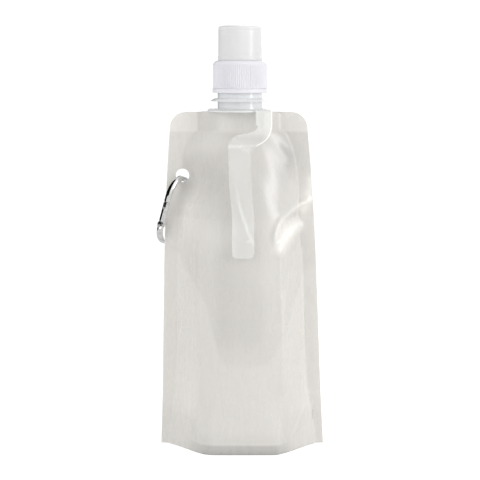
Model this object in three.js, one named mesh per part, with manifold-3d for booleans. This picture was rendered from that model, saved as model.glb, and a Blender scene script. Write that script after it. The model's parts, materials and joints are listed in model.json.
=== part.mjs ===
// Folding water bottle: a stand-up film pouch with a welded spout, a push-pull screw cap under a dust
// cover, a strap on a neck ring, and a snap hook through a hole in the side seal.
// Millimetres, +Z up. The origin is the centre of the base, and the front faces -Y.
import * as THREE from 'three';
import { mergeVertices } from 'three/addons/utils/BufferGeometryUtils.js';
import Module from 'manifold-3d';

const wasm = await Module();
wasm.setup();

const RAD = Math.PI / 180;
const ROUND = 40; // facets round a turned piece
const GAP = 0.3; // clearance between pieces that touch on the real object

// Pouch
const POUCH_TOP = 207;
const POUCH_BOTTOM = 0.5; // the film's lower edge, just clear of the ground
const TOP_CORNER = 9; // radius of the top corners
const LEAN = { bottom: 1.35, top: -0.95 }; // sideways place of the pouch's middle line
const HALF_WIDTHS = [[0, 50.7], [39, 49.05], [77, 47.9], [122, 46.4], [167, 44.1], [208, 40.9]];
const BULGES = [
  [0, 27.3], [6, 27.5], [60, 27.4], [100, 26], [133, 24], [163, 19], [183, 13.4], [195.5, 10.5], [208, 10.5],
];
const SEALED = 0.15; // half of the gap between the two films where they are sealed
const FILM = 0.7; // film thickness
const SIDE_SEAL = 8.5;
const CORNER_SEAL = 4; // the side seal's width at the base
const SHOULDER = { from: 152, to: 195.5 }; // where the bulge narrows to the spout's base
const BOAT_HALF = 24.5; // half length of the spout's base, along X
const GUSSET = { wall: 0.8, rim: 7, gap: 0.55, thinnest: 0.3 };
const ROUNDNESS = { low: 2.6, high: 2.1 }; // how square the bulge is across, low down and near the top
const FOOT = { flat: 0.38, out: 1.1, bow: 0.04, height: 45 }; // the base's flat front, as a share of the half width

// Hole for the snap hook
const HOLE = { x: -35.1, z: 168.3, r: 4.2 };
const ISLAND = { flat: 8.5, faded: 16 }; // the sealed patch round the hole

// Spout
const BOAT_BOTTOM = 195;
const LOWER_FLANGE = { r: 19.7, from: 207.25, to: 208.1 };
const UPPER_FLANGE = { r: 17.6, from: 213.4, to: 215.1, bevel: 2.2 };
const NECK = { r: 13.5, top: 234.2, bore: 11, boatBore: 8.3 };
const BEAD = { r: 14.6, from: 221.1, to: 222 }; // keeps the tamper band on the neck
const THREAD = { pitch: 4, turns: 2, from: 224, crest: 14.7, half: 0.65 };

// Cap
const COLLAR = { r: 16.35, from: 221, to: 237.8, ribs: 72, ribDepth: 0.35, inner: 15.2 };
const COLLAR_SHOULDER = 3;
const COLLAR_ROOF = 235.5; // underside of the collar's top
const COVER_SEAT = { inner: 10.3, outer: 11.7, height: 1.9 }; // the ring that the cover snaps over
const BAND = { r: 16.65, inner: 14, from: 218.45, to: 220.7 };
const LINER = { inner: 9.2, outer: 13.1, from: 234.5, to: 235.3 };
const POST = { r: 5.5, bore: 3.2, top: 246.2, roof: 1.2, pin: 2, pinTop: 249.7 };
const GROOVE = { r: 4.7, from: 241, to: 242.4 }; // holds the nozzle's seal ring
const SEAL_RING = { inner: 4.85, outer: 5.65, from: 241.2, to: 242.2 };
const PORT = { reach: 8, width: 3, height: 2, count: 3 }; // side holes that let the drink out of the post
const NOZZLE = { bore: 5.8, hole: 2.3, from: 239.1, to: 249.9 };
const COVER = { bottom: 13.2, top: 12.95, from: 238, to: 258.6, wall: 1 };

// Strap
const RING = { inner: 13.8, outer: 19.3, from: 208.3, to: 208.8 };
const STRAP_WIDTH = 13.1;
const STRAP_THICK = 0.6;
const STRAP_CORNER = 3; // radius of the free end's corners

// Snap hook: its loop lies in a plane through the hole, x across to the gate's leg and z along it
const HOOK = { rod: 1.9, bend: 10.6, length: 41.2, lean: 10, tilt: 15, yaw: -120, x: -0.3, z: -1.6 };
const GATE = { pivot: 29.2, from: 14.6, latch: 16.3, slot: 1.7 }; // distances down from the top of the loop
const NOSE = GATE.from - 0.5; // end of the frame's rod, above the gate
const RIVET = { r: 0.6, slack: 0.12 };
const LATCH_PIN = { r: 0.5, slack: 0.1, inset: 0.35 };
const TONGUE = { thick: 1.2, middle: -0.45, half: 1.4 }; // the gate's flat end, held in the frame's fork
const FORK = { width: 2.5, below: 2.2 };
const SPRING = { wire: 0.18, coil: 1.05, rise: 0.5 };

// ---- helpers ----

function manifold(geometry) {
  const bare = geometry.clone();
  for (const name of ['normal', 'uv']) if (bare.getAttribute(name)) bare.deleteAttribute(name);
  const merged = mergeVertices(bare, 1e-4);
  const vertProperties = new Float32Array(merged.getAttribute('position').array);
  const triVerts = new Uint32Array(merged.getIndex().array);
  return new wasm.Manifold(new wasm.Mesh({ numProp: 3, vertProperties, triVerts }));
}

function fromManifold(solid) {
  const mesh = solid.getMesh();
  const geometry = new THREE.BufferGeometry();
  geometry.setAttribute('position', new THREE.BufferAttribute(new Float32Array(mesh.vertProperties), 3));
  geometry.setIndex(new THREE.BufferAttribute(new Uint32Array(mesh.triVerts), 1));
  return geometry;
}

const unite = (...all) => all.map(manifold).reduce((sum, next) => sum.add(next));
const cut = (solid, ...tools) => tools.map(manifold).reduce((left, tool) => left.subtract(tool), solid);

// Turns every face outwards.
function outward(geometry) {
  const index = geometry.getIndex();
  const place = geometry.getAttribute('position');
  const [a, b, c] = [new THREE.Vector3(), new THREE.Vector3(), new THREE.Vector3()];
  let volume = 0;
  for (let i = 0; i < index.count; i += 3) {
    a.fromBufferAttribute(place, index.getX(i));
    b.fromBufferAttribute(place, index.getX(i + 1));
    c.fromBufferAttribute(place, index.getX(i + 2));
    volume += a.dot(b.cross(c));
  }
  if (volume > 0) return geometry;
  for (let i = 0; i < index.count; i += 3) {
    const kept = index.getX(i);
    index.setX(i, index.getX(i + 2));
    index.setX(i + 2, kept);
  }
  return geometry;
}

// A turned solid about the Z axis. outline is [radius, z] points; an outline off the axis is closed here.
function turned(outline, segments = ROUND) {
  const closed = outline[0][0] > 0 ? [...outline, outline[0]] : outline;
  const lathe = new THREE.LatheGeometry(closed.map(([r, z]) => new THREE.Vector2(r, z)), segments);
  lathe.rotateX(Math.PI / 2);
  lathe.deleteAttribute('normal');
  lathe.deleteAttribute('uv');
  return outward(mergeVertices(lathe, 1e-4));
}

// A solid through a row of sections with the same number of points, closed at both ends by fans.
function lofted(sections) {
  const count = sections[0].length;
  const places = sections.flat().flatMap((p) => [p.x, p.y, p.z]);
  const faces = [];
  for (let i = 0; i + 1 < sections.length; i += 1) {
    for (let j = 0; j < count; j += 1) {
      const [a, b] = [i * count + j, i * count + ((j + 1) % count)];
      faces.push(a, b, a + count, b, b + count, a + count);
    }
  }
  const last = (sections.length - 1) * count;
  for (let j = 1; j + 1 < count; j += 1) faces.push(0, j + 1, j, last, last + j, last + j + 1);
  const geometry = new THREE.BufferGeometry();
  geometry.setAttribute('position', new THREE.BufferAttribute(new Float32Array(places), 3));
  geometry.setIndex(faces);
  return outward(geometry);
}

// A rod of the given radius along a curve.
function rod(curve, radius, steps, sides = 10) {
  const round = new THREE.Shape();
  for (let i = 0; i < sides; i += 1) {
    const angle = (i / sides) * 2 * Math.PI;
    const point = [radius * Math.cos(angle), radius * Math.sin(angle)];
    if (i === 0) round.moveTo(...point);
    else round.lineTo(...point);
  }
  return new THREE.ExtrudeGeometry(round, { steps, bevelEnabled: false, extrudePath: curve });
}

// A flat shape in the XZ plane, given thickness along Y about y = middle.
function plate(points, thickness, middle = 0) {
  const shape = new THREE.Shape(points.map(([x, z]) => new THREE.Vector2(x, z)));
  const geometry = new THREE.ExtrudeGeometry(shape, { depth: thickness, bevelEnabled: false });
  geometry.rotateX(Math.PI / 2);
  geometry.translate(0, middle + thickness / 2, 0);
  return geometry;
}

// A cylinder along Y, through (x, z).
function crossPin(x, z, radius, length, sides = 20) {
  const pin = new THREE.CylinderGeometry(radius, radius, length, sides);
  pin.translate(x, 0, z);
  return pin;
}

function extruded(points, from, to) {
  const shape = new THREE.Shape(points.map(([x, y]) => new THREE.Vector2(x, y)));
  const geometry = new THREE.ExtrudeGeometry(shape, { depth: to - from, bevelEnabled: false });
  geometry.translate(0, 0, from);
  return geometry;
}

// Smooth interpolation through [place, value] stations.
function along(stations, place) {
  const last = stations.length - 1;
  if (place <= stations[0][0]) return stations[0][1];
  if (place >= stations[last][0]) return stations[last][1];
  const i = stations.findIndex(([at]) => at > place) - 1;
  const slope = (a, b) => (stations[b][1] - stations[a][1]) / (stations[b][0] - stations[a][0]);
  const width = stations[i + 1][0] - stations[i][0];
  const here = slope(i, i + 1);
  const tangent = (j) => {
    if (j === 0 || j === last) return here;
    const [before, after] = [slope(j - 1, j), slope(j, j + 1)];
    return before * after <= 0 ? 0 : (2 * before * after) / (before + after);
  };
  const t = (place - stations[i][0]) / width;
  const [t2, t3] = [t * t, t * t * t];
  return (2 * t3 - 3 * t2 + 1) * stations[i][1] + (t3 - 2 * t2 + t) * width * tangent(i)
    + (3 * t2 - 2 * t3) * stations[i + 1][1] + (t3 - t2) * width * tangent(i + 1);
}

const smooth = (from, to, value) => THREE.MathUtils.smoothstep(value, from, to);

// ---- pouch ----

const middleAt = (z) => THREE.MathUtils.lerp(LEAN.bottom, LEAN.top, z / POUCH_TOP);

function halfWidthAt(z) {
  const rise = Math.max(0, z - (POUCH_TOP - TOP_CORNER));
  const rounding = TOP_CORNER - Math.sqrt(Math.max(0, TOP_CORNER ** 2 - rise ** 2));
  return along(HALF_WIDTHS, z) - rounding;
}

// Half width of the bulging part at a height.
function bulgeHalfWidth(z) {
  const seal = THREE.MathUtils.lerp(CORNER_SEAL, SIDE_SEAL, smooth(0, 45, z));
  const full = along(HALF_WIDTHS, Math.min(z, SHOULDER.from)) - seal;
  const rise = THREE.MathUtils.clamp((z - SHOULDER.from) / (SHOULDER.to - SHOULDER.from), 0, 1);
  return BOAT_HALF + (full - BOAT_HALF) * Math.sqrt(1 - rise ** 2);
}

// How far a film stands off the sealed plane. Near the ground the front is flat and its flanks fall away
// to thin fins at the corners.
function bulge(x, z) {
  const across = Math.abs(x - middleAt(z) * (1 - smooth(SHOULDER.from, SHOULDER.to, z))) / bulgeHalfWidth(z);
  if (across >= 1) return 0;
  const round = 1 - across ** THREE.MathUtils.lerp(ROUNDNESS.low, ROUNDNESS.high, smooth(120, 190, z));
  const rest = 1 - smooth(FOOT.flat, FOOT.out, 1);
  const foot = 1 - smooth(FOOT.flat, FOOT.out, across) - (rest - FOOT.bow) * across ** 6 - FOOT.bow * across ** 2;
  const share = THREE.MathUtils.lerp(foot, round, smooth(0, FOOT.height, z));
  return along(BULGES, z) * share * smooth(ISLAND.flat, ISLAND.faded, Math.hypot(x - HOLE.x, z - HOLE.z));
}

// One film, side -1 in front and 1 behind, as a closed shell with the hook's hole.
function filmPanel(side) {
  const columns = 26;
  const heights = [];
  for (let z = POUCH_BOTTOM; z < 152; z += 15.15) heights.push(z);
  for (let z = 152; z < 192; z += 6.2) heights.push(z);
  heights.push(195.5, 200.3, 204.3, 206.2, POUCH_TOP);
  const sections = heights.map((z) => {
    const [outer, inner] = [[], []];
    for (let i = 0; i <= columns; i += 1) {
      const x = middleAt(z) + halfWidthAt(z) * (1 - (2 * i) / columns);
      const off = SEALED + bulge(x, z);
      outer.push(new THREE.Vector3(x, side * (off + FILM), z));
      inner.push(new THREE.Vector3(x, side * off, z));
    }
    return [...outer, ...inner.reverse()];
  });
  const count = sections[0].length;
  const places = sections.flat().flatMap((p) => [p.x, p.y, p.z]);
  const faces = [];
  const quad = (a, b, c, d) => faces.push(a, b, c, a, c, d);
  for (let i = 0; i + 1 < sections.length; i += 1) {
    for (let j = 0; j < count; j += 1) {
      const [a, b] = [i * count + j, i * count + ((j + 1) % count)];
      quad(a, b, b + count, a + count);
    }
  }
  const last = (sections.length - 1) * count;
  for (let j = 0; j < columns; j += 1) {
    const facing = count - 1 - j;
    quad(j, facing, facing - 1, j + 1);
    quad(last + j, last + j + 1, last + facing - 1, last + facing);
  }
  const geometry = new THREE.BufferGeometry();
  geometry.setAttribute('position', new THREE.BufferAttribute(new Float32Array(places), 3));
  geometry.setIndex(faces);
  return fromManifold(cut(manifold(outward(geometry)), crossPin(HOLE.x, HOLE.z, HOLE.r, 8, 24)));
}

// The outline that the films leave between the ground and the gusset's rim, drawn in by inset.
function insideOutline(inset, points = 40) {
  const half = [];
  const reach = bulgeHalfWidth(GUSSET.rim) - 2 * inset;
  for (let i = 0; i <= points / 2; i += 1) {
    const x = middleAt(0) - reach * Math.cos((i / (points / 2)) * Math.PI);
    const off = Math.min(bulge(x, POUCH_BOTTOM), bulge(x, GUSSET.rim)) + SEALED - inset;
    if (off > GUSSET.thinnest) half.push([x, off]);
  }
  return [...half.map(([x, y]) => [x, -y]), ...half.reverse().map(([x, y]) => [x, y])];
}

// The base film: a flat floor with an upturned edge that is sealed to both films.
function bottomGusset() {
  const outer = extruded(insideOutline(GUSSET.gap), 0, GUSSET.rim);
  const inner = extruded(insideOutline(GUSSET.gap + GUSSET.wall), GUSSET.wall, GUSSET.rim + 1);
  return fromManifold(cut(manifold(outer), inner));
}

// ---- spout ----

// A screw ridge on a cylinder, from the root radius to the crest, with run-outs at both ends.
function screwRidge(root, crest, start, turns) {
  const steps = Math.round(turns * 20);
  const sections = [];
  for (let i = 0; i <= steps; i += 1) {
    const angle = (i / steps) * turns * 2 * Math.PI;
    const fade = Math.min(1, 0.25 + i / 4, 0.25 + (steps - i) / 4);
    const tip = root + (crest - root) * fade;
    const z = start + (THREAD.pitch * angle) / (2 * Math.PI);
    const at = (r, up) => new THREE.Vector3(r * Math.cos(angle), r * Math.sin(angle), z + up);
    const sunk = root - Math.sign(crest - root) * 0.3;
    sections.push([at(sunk, -THREAD.half), at(tip, -THREAD.half / 2), at(tip, THREAD.half / 2), at(sunk, THREAD.half)]);
  }
  return lofted(sections);
}

function spoutFitment() {
  const boat = [];
  const boatPoints = 28;
  for (let i = 0; i < boatPoints; i += 1) {
    const angle = (i / boatPoints) * 2 * Math.PI;
    const x = (BOAT_HALF - 1.2) * Math.cos(angle);
    const half = Math.max(0, bulge(x, SHOULDER.to) + SEALED - GAP);
    boat.push([x, Math.sign(Math.sin(angle)) * (Math.abs(Math.sin(angle)) < 1e-6 ? 0 : half)]);
  }
  const base = extruded(boat, BOAT_BOTTOM, LOWER_FLANGE.from + 0.4);
  const neck = turned([
    [0, LOWER_FLANGE.from], [LOWER_FLANGE.r - 0.2, LOWER_FLANGE.from], [LOWER_FLANGE.r, LOWER_FLANGE.from + 0.2],
    [LOWER_FLANGE.r, LOWER_FLANGE.to - 0.2], [LOWER_FLANGE.r - 0.2, LOWER_FLANGE.to], [NECK.r, LOWER_FLANGE.to],
    [NECK.r, UPPER_FLANGE.from], [UPPER_FLANGE.r, UPPER_FLANGE.from], [UPPER_FLANGE.r, UPPER_FLANGE.from + 0.6],
    [UPPER_FLANGE.r - UPPER_FLANGE.bevel, UPPER_FLANGE.to], [NECK.r, UPPER_FLANGE.to],
    [NECK.r, BEAD.from], [BEAD.r, BEAD.from], [BEAD.r, BEAD.to - 0.4], [NECK.r, BEAD.to],
    [NECK.r, NECK.top - 0.4], [NECK.r - 0.4, NECK.top], [0, NECK.top],
  ]);
  const bore = turned([
    [0, BOAT_BOTTOM - 1], [NECK.boatBore, BOAT_BOTTOM - 1], [NECK.boatBore, LOWER_FLANGE.to],
    [NECK.bore, LOWER_FLANGE.to + 3], [NECK.bore, NECK.top + 1], [0, NECK.top + 1],
  ]);
  const ridge = screwRidge(NECK.r, THREAD.crest, THREAD.from, THREAD.turns);
  return fromManifold(cut(unite(neck, base, ridge), bore));
}

const tamperBand = () => turned([
  [BAND.inner, BAND.from], [BAND.r - 0.3, BAND.from], [BAND.r, BAND.from + 0.3],
  [BAND.r, BAND.to - 0.3], [BAND.r - 0.3, BAND.to], [BAND.inner, BAND.to],
]);

// ---- cap ----

const capLiner = () => turned([
  [LINER.inner, LINER.from], [LINER.outer, LINER.from], [LINER.outer, LINER.to], [LINER.inner, LINER.to],
]);

function screwCollar() {
  const outline = [];
  for (let i = 0; i < COLLAR.ribs; i += 1) {
    const step = (2 * Math.PI) / COLLAR.ribs;
    for (const [turn, r] of [[0, COLLAR.r - COLLAR.ribDepth], [0.5, COLLAR.r]]) {
      outline.push([r * Math.cos((i + turn) * step), r * Math.sin((i + turn) * step)]);
    }
  }
  const ribs = extruded(outline, COLLAR.from + 0.6, COLLAR.to - COLLAR_SHOULDER);
  const skirt = COLLAR.r - COLLAR.ribDepth;
  const shoulder = [0, 30, 60, 90].map((turn) => [
    skirt - COLLAR_SHOULDER * (1 - Math.cos(turn * RAD)),
    COLLAR.to - COLLAR_SHOULDER * (1 - Math.sin(turn * RAD)),
  ]);
  const shell = turned([
    [0, COLLAR.from], [skirt - 0.2, COLLAR.from], [skirt, COLLAR.from + 0.4], ...shoulder,
    [COVER_SEAT.outer, COLLAR.to], [COVER_SEAT.outer, COLLAR.to + COVER_SEAT.height - 0.3],
    [COVER_SEAT.outer - 0.8, COLLAR.to + COVER_SEAT.height], [COVER_SEAT.inner, COLLAR.to], [POST.r, COLLAR.to],
    [POST.r, GROOVE.from], [GROOVE.r, GROOVE.from], [GROOVE.r, GROOVE.to], [POST.r, GROOVE.to],
    [POST.r, POST.top], [POST.pin, POST.top], [POST.pin, POST.pinTop - 0.5], [POST.pin - 0.5, POST.pinTop],
    [0, POST.pinTop],
  ]);
  const inside = turned([
    [0, COLLAR.from - 1], [COLLAR.inner, COLLAR.from - 1], [COLLAR.inner, COLLAR_ROOF],
    [POST.bore, COLLAR_ROOF], [POST.bore, POST.top - POST.roof], [0, POST.top - POST.roof],
  ]);
  const ports = Array.from({ length: PORT.count }, (_, i) => {
    const port = new THREE.BoxGeometry(PORT.reach, PORT.width, PORT.height);
    port.translate(PORT.reach / 2, 0, POST.top - POST.roof - PORT.height / 2);
    port.rotateZ((i / PORT.count) * 2 * Math.PI);
    return port;
  });
  const body = cut(unite(shell, ribs), inside, ...ports);
  const ridge = screwRidge(COLLAR.inner, NECK.r + 0.45, THREAD.from - THREAD.pitch / 2 + 0.1, THREAD.turns);
  return fromManifold(body.add(manifold(ridge)));
}

const nozzleSealRing = () => turned([
  [SEAL_RING.inner, SEAL_RING.from], [SEAL_RING.outer - 0.1, SEAL_RING.from + 0.1],
  [SEAL_RING.outer, (SEAL_RING.from + SEAL_RING.to) / 2], [SEAL_RING.outer - 0.1, SEAL_RING.to - 0.1],
  [SEAL_RING.inner, SEAL_RING.to],
], 32);

const pushPullNozzle = () => turned([
  [NOZZLE.bore, NOZZLE.from], [9, NOZZLE.from], [9.4, NOZZLE.from + 0.5], [9.4, NOZZLE.from + 1.6],
  [8.4, NOZZLE.from + 2.2], [7.6, NOZZLE.from + 4], [7.4, NOZZLE.to - 3.4], [8.1, NOZZLE.to - 2.4],
  [8, NOZZLE.to - 1.2], [6.8, NOZZLE.to - 0.2], [NOZZLE.hole + 0.6, NOZZLE.to], [NOZZLE.hole, NOZZLE.to - 0.5],
  [NOZZLE.hole, NOZZLE.to - 2.4], [NOZZLE.bore, NOZZLE.to - 3],
], 32);

const dustCover = () => turned([
  [0, COVER.to], [COVER.top - 3, COVER.to - 0.25], [COVER.top - 1, COVER.to - 0.6], [COVER.top - 0.25, COVER.to - 1.1],
  [COVER.top, COVER.to - 2], [COVER.bottom, COVER.from], [COVER.bottom - COVER.wall, COVER.from],
  [COVER.top - COVER.wall, COVER.to - 2.4], [COVER.top - COVER.wall - 1, COVER.to - COVER.wall - 0.5],
  [0, COVER.to - COVER.wall - 0.1],
]);

// ---- strap ----

// The strap's route, as a middle point and the direction across the strap there. The tab belongs to the
// neck ring and bends over the flange's rim. The strip hangs from the tab, slants across to the front,
// folds over and hangs down the pouch.
const RIM_ACROSS = [0.724, 0.69, 0];
const FRONT_ACROSS = [1, 0, 0];
const TAB_ROUTE = [
  [[11.7, -12.3, 208.55], RIM_ACROSS],
  [[13.3, -13.95, 208.55], RIM_ACROSS],
  [[14, -14.7, 208.2], RIM_ACROSS],
  [[14.25, -14.95, 207.2], RIM_ACROSS],
  [[14.25, -14.95, 205.4], RIM_ACROSS],
];
const STRIP_ROUTE = [
  [[14.25, -14.95, 204.6], RIM_ACROSS],
  [[14.25, -14.95, 199.5], RIM_ACROSS],
  [[13.8, -15.6, 195.6], [0.98, 0.1, 0]],
  [[9.9, -17.7, 192.6], [0.86, -0.45, -0.15]],
  [[5.8, -20, 189.8], [0.8, -0.5, -0.1]],
  [[2.4, -21.9, 187.6], [0.93, -0.35, 0]],
  [[-0.1, -23.3, 186.8], [1, -0.1, 0]],
  [[-0.4, -24.4, 184.6], FRONT_ACROSS],
  [[-0.1, -24.7, 179.4], FRONT_ACROSS],
  [[0, -24.7, 167.5], FRONT_ACROSS],
  [[1, -25.3, 155.8], FRONT_ACROSS],
  [[1.8, -26.4, 146.1], FRONT_ACROSS],
  [[1.85, -27.5, 135.4], FRONT_ACROSS],
  [[1.85, -28, 124], FRONT_ACROSS],
];

// A flat band along a route, with rounded corners at its end if asked.
function band(route, roundEnd) {
  const stations = route.map(([place, across]) => [new THREE.Vector3(...place), new THREE.Vector3(...across)]);
  const half = STRAP_WIDTH / 2;
  const widths = stations.map(() => half);
  const [end, endAcross] = stations[stations.length - 1];
  for (const turn of roundEnd ? [35, 65, 88] : []) {
    stations.push([end.clone().add(new THREE.Vector3(0, -0.02, -STRAP_CORNER * Math.sin(turn * RAD))), endAcross]);
    widths.push(half - STRAP_CORNER * (1 - Math.cos(turn * RAD)));
  }
  const sections = stations.map(([place, across], i) => {
    const before = stations[Math.max(0, i - 1)][0];
    const after = stations[Math.min(stations.length - 1, i + 1)][0];
    const forward = after.clone().sub(before).normalize();
    const side = across.clone().sub(forward.clone().multiplyScalar(across.dot(forward))).normalize();
    const up = side.clone().cross(forward).multiplyScalar(STRAP_THICK / 2);
    const corner = (w, h) => place.clone().addScaledVector(side, w * widths[i]).addScaledVector(up, h);
    return [corner(-1, -1), corner(0, -1), corner(1, -1), corner(1, 1), corner(0, 1), corner(-1, 1)];
  });
  return lofted(sections);
}

function strapRing() {
  const ring = turned([
    [RING.inner, RING.from], [RING.outer, RING.from], [RING.outer, RING.to], [RING.inner, RING.to],
  ]);
  return fromManifold(unite(ring, band(TAB_ROUTE, false)));
}

const neckStrap = () => band(STRIP_ROUTE, true);

// ---- snap hook ----

// The loop's middle line: both straight legs joined by half circles. from and to are distances along it,
// counted from the top of the loop towards the gate's leg.
class LoopCurve extends THREE.Curve {
  constructor(from, to) {
    super();
    this.from = from;
    this.to = to;
  }

  getPoint(t, target = new THREE.Vector3()) {
    const { bend, length } = HOOK;
    const straight = length - 2 * bend;
    const quarter = (Math.PI * bend) / 2;
    const total = 4 * quarter + 2 * straight;
    const at = (((this.from + (this.to - this.from) * t) % total) + total) % total;
    if (at < quarter) return target.set(bend * Math.sin(at / bend), 0, -bend * (1 - Math.cos(at / bend)));
    if (at < quarter + straight) return target.set(bend, 0, -(bend + at - quarter));
    if (at < 3 * quarter + straight) {
      const angle = (at - quarter - straight) / bend;
      return target.set(bend * Math.cos(angle), 0, -(bend + straight + bend * Math.sin(angle)));
    }
    if (at < 3 * quarter + 2 * straight) {
      return target.set(-bend, 0, -(bend + straight - (at - 3 * quarter - straight)));
    }
    const angle = (total - at) / bend;
    return target.set(-bend * Math.sin(angle), 0, -bend * (1 - Math.cos(angle)));
  }
}

const QUARTER = (Math.PI * HOOK.bend) / 2;
const alongLoop = (distance) => QUARTER + distance - HOOK.bend; // on the gate's leg, from a distance down

// A cylinder through the gate's leg at a distance down the loop.
const legPin = (down, radius, length, sides = 20) => crossPin(HOOK.bend, -down, radius, length, sides);

// A rectangle across the gate's leg, between two distances down the loop.
function legPlate(half, from, to, thickness, middle = 0) {
  const [left, right] = [HOOK.bend - half, HOOK.bend + half];
  return plate([[left, -from], [right, -from], [right, -to], [left, -to]], thickness, middle);
}

// The tongue at the nose of the frame, with a notch that catches the latch pin.
function noseTongue() {
  const { latch } = GATE;
  const outline = [
    [-1.1, NOSE - 1], [1.25, NOSE - 1], [1.25, latch + 1.5], [-0.3, latch + 1.9], [-0.9, latch + 1.5],
    [-0.9, latch + 0.85], [0.3, latch + 0.8], [0.3, latch - 0.8], [-1.1, latch - 0.85],
  ];
  return plate(outline.map(([across, down]) => [HOOK.bend + across, -down]), GATE.slot - 0.6);
}

function carabinerFrame() {
  const total = 4 * QUARTER + 2 * (HOOK.length - 2 * HOOK.bend);
  const bar = rod(new LoopCurve(alongLoop(GATE.pivot), total + alongLoop(NOSE)), HOOK.rod, 46);
  const cheek = legPin(GATE.pivot, HOOK.rod - 0.02, 2 * HOOK.rod - 0.4, 24);
  const slot = legPlate(3, GATE.pivot - 3, GATE.pivot + FORK.below, FORK.width);
  const rivetHole = legPin(GATE.pivot, RIVET.r + RIVET.slack, 6, 16);
  return fromManifold(cut(unite(bar, cheek), slot, rivetHole).add(manifold(noseTongue())));
}

function carabinerGate() {
  const end = GATE.pivot - HOOK.rod - GAP;
  const bar = new THREE.CylinderGeometry(HOOK.rod, HOOK.rod, end - GATE.from, 20);
  bar.rotateX(Math.PI / 2);
  bar.translate(HOOK.bend, 0, -(end + GATE.from) / 2);
  const tab = legPlate(TONGUE.half, end - 1, GATE.pivot, TONGUE.thick, TONGUE.middle);
  const eye = legPin(GATE.pivot, TONGUE.half, TONGUE.thick);
  eye.translate(0, TONGUE.middle, 0);
  const eyeHole = legPin(GATE.pivot, RIVET.r + RIVET.slack, 8, 16);
  const slot = legPlate(3, GATE.from - 1, GATE.latch + 2.5, GATE.slot);
  const latchHole = crossPin(HOOK.bend - LATCH_PIN.inset, -GATE.latch, LATCH_PIN.r + LATCH_PIN.slack, 8, 12);
  return fromManifold(cut(unite(bar, tab, eye), eyeHole, slot, latchHole));
}

const gateRivet = () => legPin(GATE.pivot, RIVET.r, 2 * HOOK.rod + 0.2, 16);
const gateLatchPin = () => crossPin(HOOK.bend - LATCH_PIN.inset, -GATE.latch, LATCH_PIN.r, 3.2, 12);

// A torsion spring: a leg on the frame, a full turn round the rivet, and a leg up the gate's inner side.
function gateSpring() {
  const { coil, wire, rise } = SPRING;
  const [x, z] = [HOOK.bend, -GATE.pivot];
  const beside = TONGUE.middle + TONGUE.thick / 2 + 0.3;
  const points = [[x - coil, beside, z - 1.8], [x - coil, beside, z - 0.9]];
  const steps = 12;
  for (let i = 0; i <= steps; i += 1) {
    const angle = Math.PI - (2 * Math.PI * i) / steps;
    points.push([x + coil * Math.cos(angle), beside + (rise * i) / steps, z + coil * Math.sin(angle)]);
  }
  points.push([x - 2, beside + rise + 0.05, z + 2], [x - 2, beside + rise + 0.05, z + 4.5]);
  return rod(new THREE.CatmullRomCurve3(points.map((point) => new THREE.Vector3(...point))), wire, 36, 5);
}

// ---- assembly ----

const materials = {
  film: new THREE.MeshStandardMaterial({ color: 0xd9d7d3, roughness: 0.35, metalness: 0 }),
  spout: new THREE.MeshStandardMaterial({ color: 0xdbdcdd, roughness: 0.35, metalness: 0 }),
  cap: new THREE.MeshStandardMaterial({ color: 0xe9e8ed, roughness: 0.4, metalness: 0 }),
  cover: new THREE.MeshStandardMaterial({ color: 0xe5e5e5, roughness: 0.5, metalness: 0 }),
  strap: new THREE.MeshStandardMaterial({ color: 0xdedddb, roughness: 0.25, metalness: 0 }),
  seal: new THREE.MeshStandardMaterial({ color: 0xcfcfca, roughness: 0.6, metalness: 0 }),
  steel: new THREE.MeshStandardMaterial({ color: 0xb9bbc0, roughness: 0.2, metalness: 1 }),
};

function piece(name, geometry, material) {
  const mesh = new THREE.Mesh(geometry, material);
  mesh.name = name;
  return mesh;
}

const pouch = new THREE.Group();
pouch.add(
  piece('pouch_front_panel', filmPanel(-1), materials.film),
  piece('pouch_back_panel', filmPanel(1), materials.film),
  piece('pouch_bottom_gusset', bottomGusset(), materials.film),
);

const spout = new THREE.Group();
spout.add(
  piece('spout_fitment', spoutFitment(), materials.spout),
  piece('tamper_band', tamperBand(), materials.cap),
);

const cap = new THREE.Group();
cap.add(
  piece('cap_liner', capLiner(), materials.seal),
  piece('screw_collar', screwCollar(), materials.cap),
  piece('nozzle_seal_ring', nozzleSealRing(), materials.seal),
  piece('push_pull_nozzle', pushPullNozzle(), materials.cap),
  piece('dust_cover', dustCover(), materials.cover),
);

const strap = new THREE.Group();
strap.add(
  piece('strap_ring', strapRing(), materials.strap),
  piece('neck_strap', neckStrap(), materials.strap),
);

const carabiner = new THREE.Group();
carabiner.position.set(HOLE.x + HOOK.x, 0, HOLE.z + HOOK.z);
carabiner.rotation.set(HOOK.lean * RAD, HOOK.tilt * RAD, HOOK.yaw * RAD);
carabiner.add(
  piece('carabiner_frame', carabinerFrame(), materials.steel),
  piece('carabiner_gate', carabinerGate(), materials.steel),
  piece('gate_rivet', gateRivet(), materials.steel),
  piece('gate_latch_pin', gateLatchPin(), materials.steel),
  piece('gate_spring', gateSpring(), materials.steel),
);

const bottle = new THREE.Group();
bottle.add(pouch, spout, cap, strap, carabiner);
export default bottle;
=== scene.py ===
"""Folding water bottle: film pouch, spout, push-pull cap, strap and snap hook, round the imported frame.

Lengths in this script are millimetres in the frame's axes (+Z up, front -Y), turned into metres by MM.
"""

import json
import math

import bmesh
import bpy
import numpy as np
from mathutils import Matrix, Vector


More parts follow.
